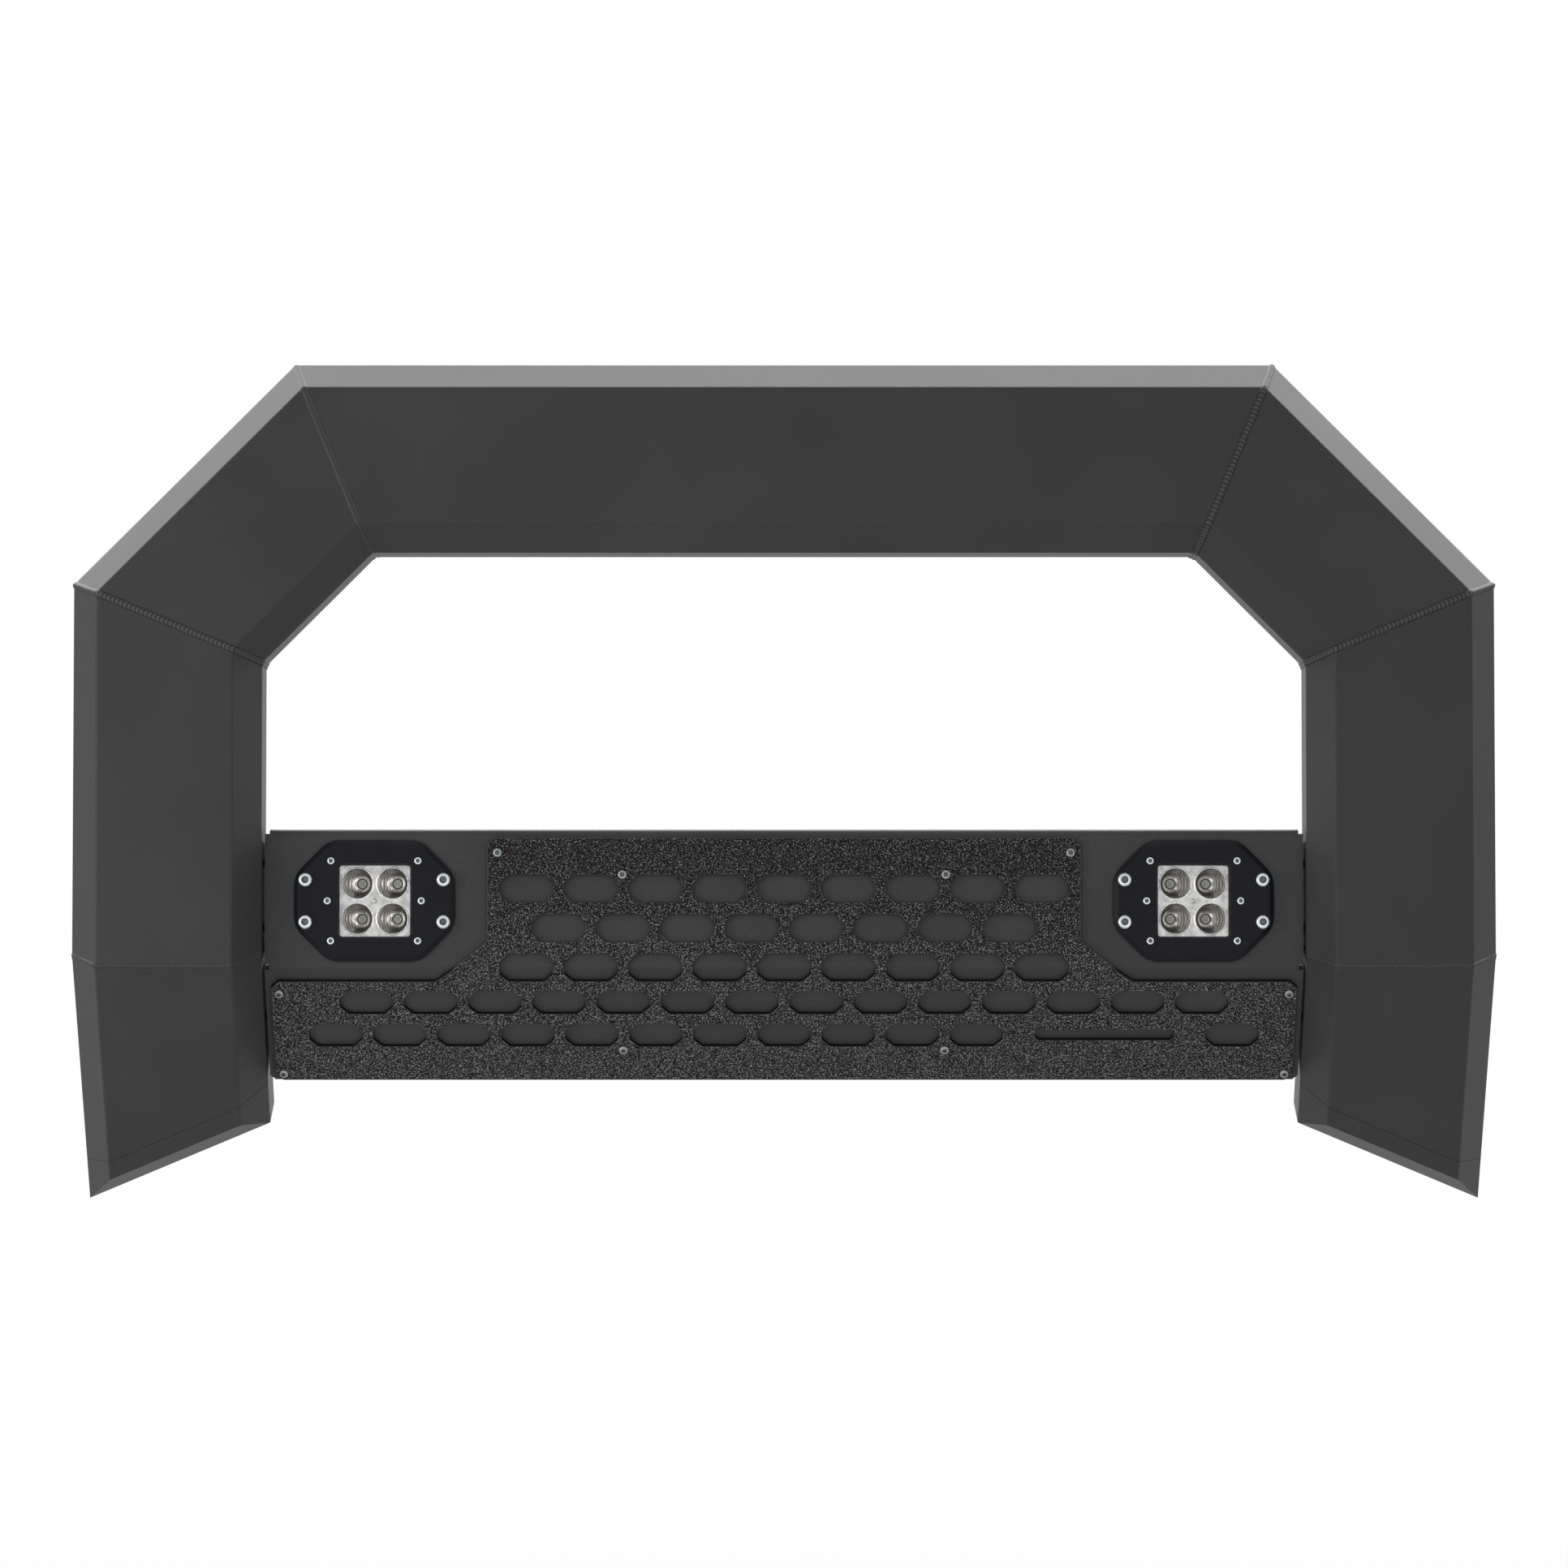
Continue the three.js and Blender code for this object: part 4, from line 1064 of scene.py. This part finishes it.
def cup_steps():
    """Rings of a cup from its throat to its raised rim, as insets from the mouth."""
    back, front = REFLECTOR_FACES
    depth = front - back
    steps = []
    for k in range(21):
        part = k / 20
        steps.append((-(CUP_MOUTH - CUP_THROAT) * (1 - math.sqrt(part)), back + depth * part, 1))
    lip = [(0.15, 0.22), (0.4, 0.38), (0.7, 0.32), (0.95, 0.12), (1.1, 0)]
    return steps + [(out, front + up, 1) for out, up in lip]


def cup_painted_reflection(x, y, reach):
    """The painted reflections of a cup at a place in it: a warm grey bowl, bright and dark flutes on the
    outer side, a dark patch at the bottom, two painted highlights and a bright lip."""
    if reach > CUP_MOUTH - 0.4:
        return 0.72 + 0.28 * math.sin(3.1 * x - 1.7 * y) * math.cos(2.3 * y + x)
    outer = max(0.0, min(1.0, 0.5 + 0.22 * x))
    flutes = 0.5 + 0.5 * math.sin(2 * math.pi * (x + 0.05 * y * y) / FLUTE_PITCH)
    bowl = 0.5 + outer * (0.62 * flutes - 0.14)
    ragged = 0.7 * math.sin(2 * math.pi * x / FLUTE_PITCH)
    patch = math.exp(-(((x + 1.2) / 5.2) ** 4) - ((y + 8.2 - ragged) / 2.4) ** 2)
    shine = math.exp(-(((x - 4) / 2.2) ** 2) - ((y + 8.2) / 1.6) ** 2)
    shine += 0.5 * math.exp(-((x / 4) ** 2) - ((y - 9.2) / 1.2) ** 2)
    return max(0.0, bowl * (1 - 0.95 * patch) + 0.6 * shine)


def reflector(side, light):
    """A plated tray with four fluted cups, a bright pin in the middle and a bead round each mouth."""
    back, front = REFLECTOR_FACES
    half = CUP_PITCH / 2
    centres = [(a * half, b * half) for a, b in QUARTERS]
    loops = [(fillet(rectangle(REFLECTOR, REFLECTOR), 3, 6), rim(back, front, 0.4))]
    loops += [(circle(CUP_MOUTH, *centre, 96), cup_steps()) for centre in centres]
    shape = plate(loops)
    # each corner's painted reflection and shade, for the cup material to read
    tone = shape.verts.layers.float.new("tone")
    for vert in shape.verts:
        x, y = min(centres, key=lambda c: math.hypot(vert.co.x - c[0], vert.co.y - c[1]))
        reach = math.hypot(vert.co.x - x, vert.co.y - y)
        part = max(0.0, (front - vert.co.z) / (front - back))
        vert[tone] = cup_painted_reflection(vert.co.x - x - CUP_SHIFT * part, vert.co.y - y, reach)
        if reach > CUP_MOUTH - 0.01:
            continue
        fade = math.sin(math.pi * min(1.0, part)) * max(0.0, min(1.0, (vert.co.x - x) / 3 + 0.4))
        push = 1 + FLUTE * fade * math.sin(2 * math.pi * vert.co.x / FLUTE_PITCH) / reach
        vert.co.x = x + (vert.co.x - x) * push - CUP_SHIFT * part
        vert.co.y = y + (vert.co.y - y) * push
    profile = [(1.2, front - 1), (1.8, front + 0.1), (1.5, front + 0.6), (0.9, front + 0.95)]
    profile += [(0.3, front + 1.05)]
    merge(shape, turned(profile, 24))
    materials = [MIRROR_FINISH, CUP_FINISH]
    finished(f"{side}_plated_reflector", shape, light, materials, [f"{side}_reflector"], 50)


def led_board(side, light):
    refined(f"{side}_led_board", f"{side}_lamp_board", 0.2, [BOARD])
    half = CUP_PITCH / 2
    top = REFLECTOR_FACES[0] - 0.3
    outer, inner, high = LED_RING
    chip, thick = LED_CHIP
    for number, (a, b) in enumerate(QUARTERS, 1):
        place = light @ Matrix.Translation((a * half - CUP_SHIFT, b * half, top))
        profile = [(outer, 0), (outer, high - 0.2), (outer - 0.2, high)]
        profile += [(inner + 0.2, high), (inner, high - 0.2), (inner, 0)]
        shape = turned(profile, closed=True)
        finished(f"{side}_led_ring_{number}", shape, place, [CHIP_RING])
        shape = plate([(fillet(rectangle(chip, chip), 0.3, 3), rim(0.02, thick, 0.12))])
        finished(f"{side}_led_chip_{number}", shape, place, [CHIP])


def cable_gland(side):
    """A hex collar, a ribbed dome nut and an open mouth, pointing down below the housing."""
    low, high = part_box(f"{side}_cable_gland")
    middle = (low + high) / 2
    collar = [(6.4, 0.0), (6.93, 0.3, 0.5), (6.93, 5.6, 0), (6.5, 6, 0)]
    ribs = []
    for k in range(4):
        z = 6.6 + 1.9 * k
        ribs += [(6.3, z), (6.75, z + 0.5), (6.75, z + 1.2), (6.3, z + 1.6)]
    dome = [(6.2, 14.6), (5.9, 16.2), (5.2, 18.2), (4.6, 18.9), (3.3, 18.9), (2.85, 18.4), (2.8, 8.2)]
    place = Matrix.Translation((middle.x, middle.y, high.z))
    matrix = place @ Matrix.Rotation(math.pi, 4, "X") @ Matrix.Scale(MM, 4)
    shape = turned([*collar, *ribs, *dome])
    finished(f"{side}_gland_body", shape, matrix, [NYLON], [f"{side}_cable_gland"])


def work_light(side):
    low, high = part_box(f"{side}_light_bezel")
    middle = (low + high) / 2
    local = UPPER.inverted() @ Vector((abs(middle.x), middle.y, middle.z))
    light = MIRROR[side] @ UPPER @ Matrix.Translation((local.x, local.y, 0))
    bezel(side, light)
    lens_and_gasket(side, light)
    reflector(side, light)
    led_board(side, light)
    refined(f"{side}_light_housing", f"{side}_finned_housing", 0.5, [CAST])
    cable_gland(side)
    light_screws(side, light)


# ---------- camera, floor and light ----------
CAMERA_AT = (0.0, -4.65, -0.134)
CAMERA_UP = math.radians(2.77)
CAMERA_LENS = 139.75
FLOOR_Z = -0.63
FLOOR_SIZE = 240.0


def camera():
    data = bpy.data.cameras.new("camera")
    data.lens = CAMERA_LENS
    data.sensor_width = 36
    data.clip_end = 500
    made = bpy.data.objects.new("camera", data)
    made.location = CAMERA_AT
    made.rotation_euler = (math.pi / 2 + CAMERA_UP, 0, 0)
    bpy.context.scene.collection.objects.link(made)
    bpy.context.scene.camera = made


def floor():
    made = surface("floor_white", Base_Color=(1.0, 1.0, 1.0), Roughness=1.0, Specular_IOR_Level=0.0)
    half = FLOOR_SIZE / 2
    mesh = bpy.data.meshes.new("floor")
    corners = [(-half, -half), (half, -half), (half, half), (-half, half)]
    mesh.from_pydata([(x, y, FLOOR_Z) for x, y in corners], [], [(0, 1, 2, 3)])
    mesh.materials.append(made)
    piece = bpy.data.objects.new("floor", mesh)
    bpy.context.scene.collection.objects.link(piece)
    piece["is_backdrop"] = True


def area_light(name, place, target, size, power):
    """A soft rectangular light that lights the bar and not the floor."""
    data = bpy.data.lights.new(name, "AREA")
    data.shape = "RECTANGLE"
    data.size, data.size_y = size
    data.energy = power
    made = bpy.data.objects.new(name, data)
    made.visible_camera = False
    made.location = place
    made.rotation_euler = (Vector(target) - Vector(place)).to_track_quat("-Z", "Y").to_euler()
    bpy.context.scene.collection.objects.link(made)
    return made


def lighting():
    world = bpy.data.worlds.new("white_studio")
    bpy.context.scene.world = world
    world.use_nodes = True
    back = world.node_tree.nodes["Background"]
    back.inputs["Color"].default_value = (1, 1, 1, 1)
    back.inputs["Strength"].default_value = 1.0
    lights = [
        area_light("overhead", (0, 1.5, 2.2), (0, 0.0, 0.2), (7.0, 3.0), 455),
        area_light("left_front", (-1.4, -0.9, 0.0), (-0.45, -0.15, 0.0), (0.5, 0.9), 9),
        area_light("low_front", (0, -1.6, -0.55), (0, -0.1, -0.1), (2.4, 0.8), 6.5),
    ]
    lit = bpy.data.collections.new("lit_by_lamps")
    for piece in bpy.data.objects:
        if piece.type == "MESH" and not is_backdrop(piece):
            lit.objects.link(piece)
    for light in lights:
        light.light_linking.receiver_collection = lit


camera()
floor()
top_tube()
for bar_side in ("left", "right"):
    corner_tube(bar_side)
    upright_tube(bar_side)
    lower_leg_tube(bar_side)
    end_cap(bar_side)
    weld_beads(bar_side)
    mounting_plate(bar_side)
    cover_screws(bar_side)
    flange_bolts(bar_side)
    work_light(bar_side)
light_panel()
cover_plate()
lighting()
bpy.context.scene.view_settings.view_transform = "Standard"
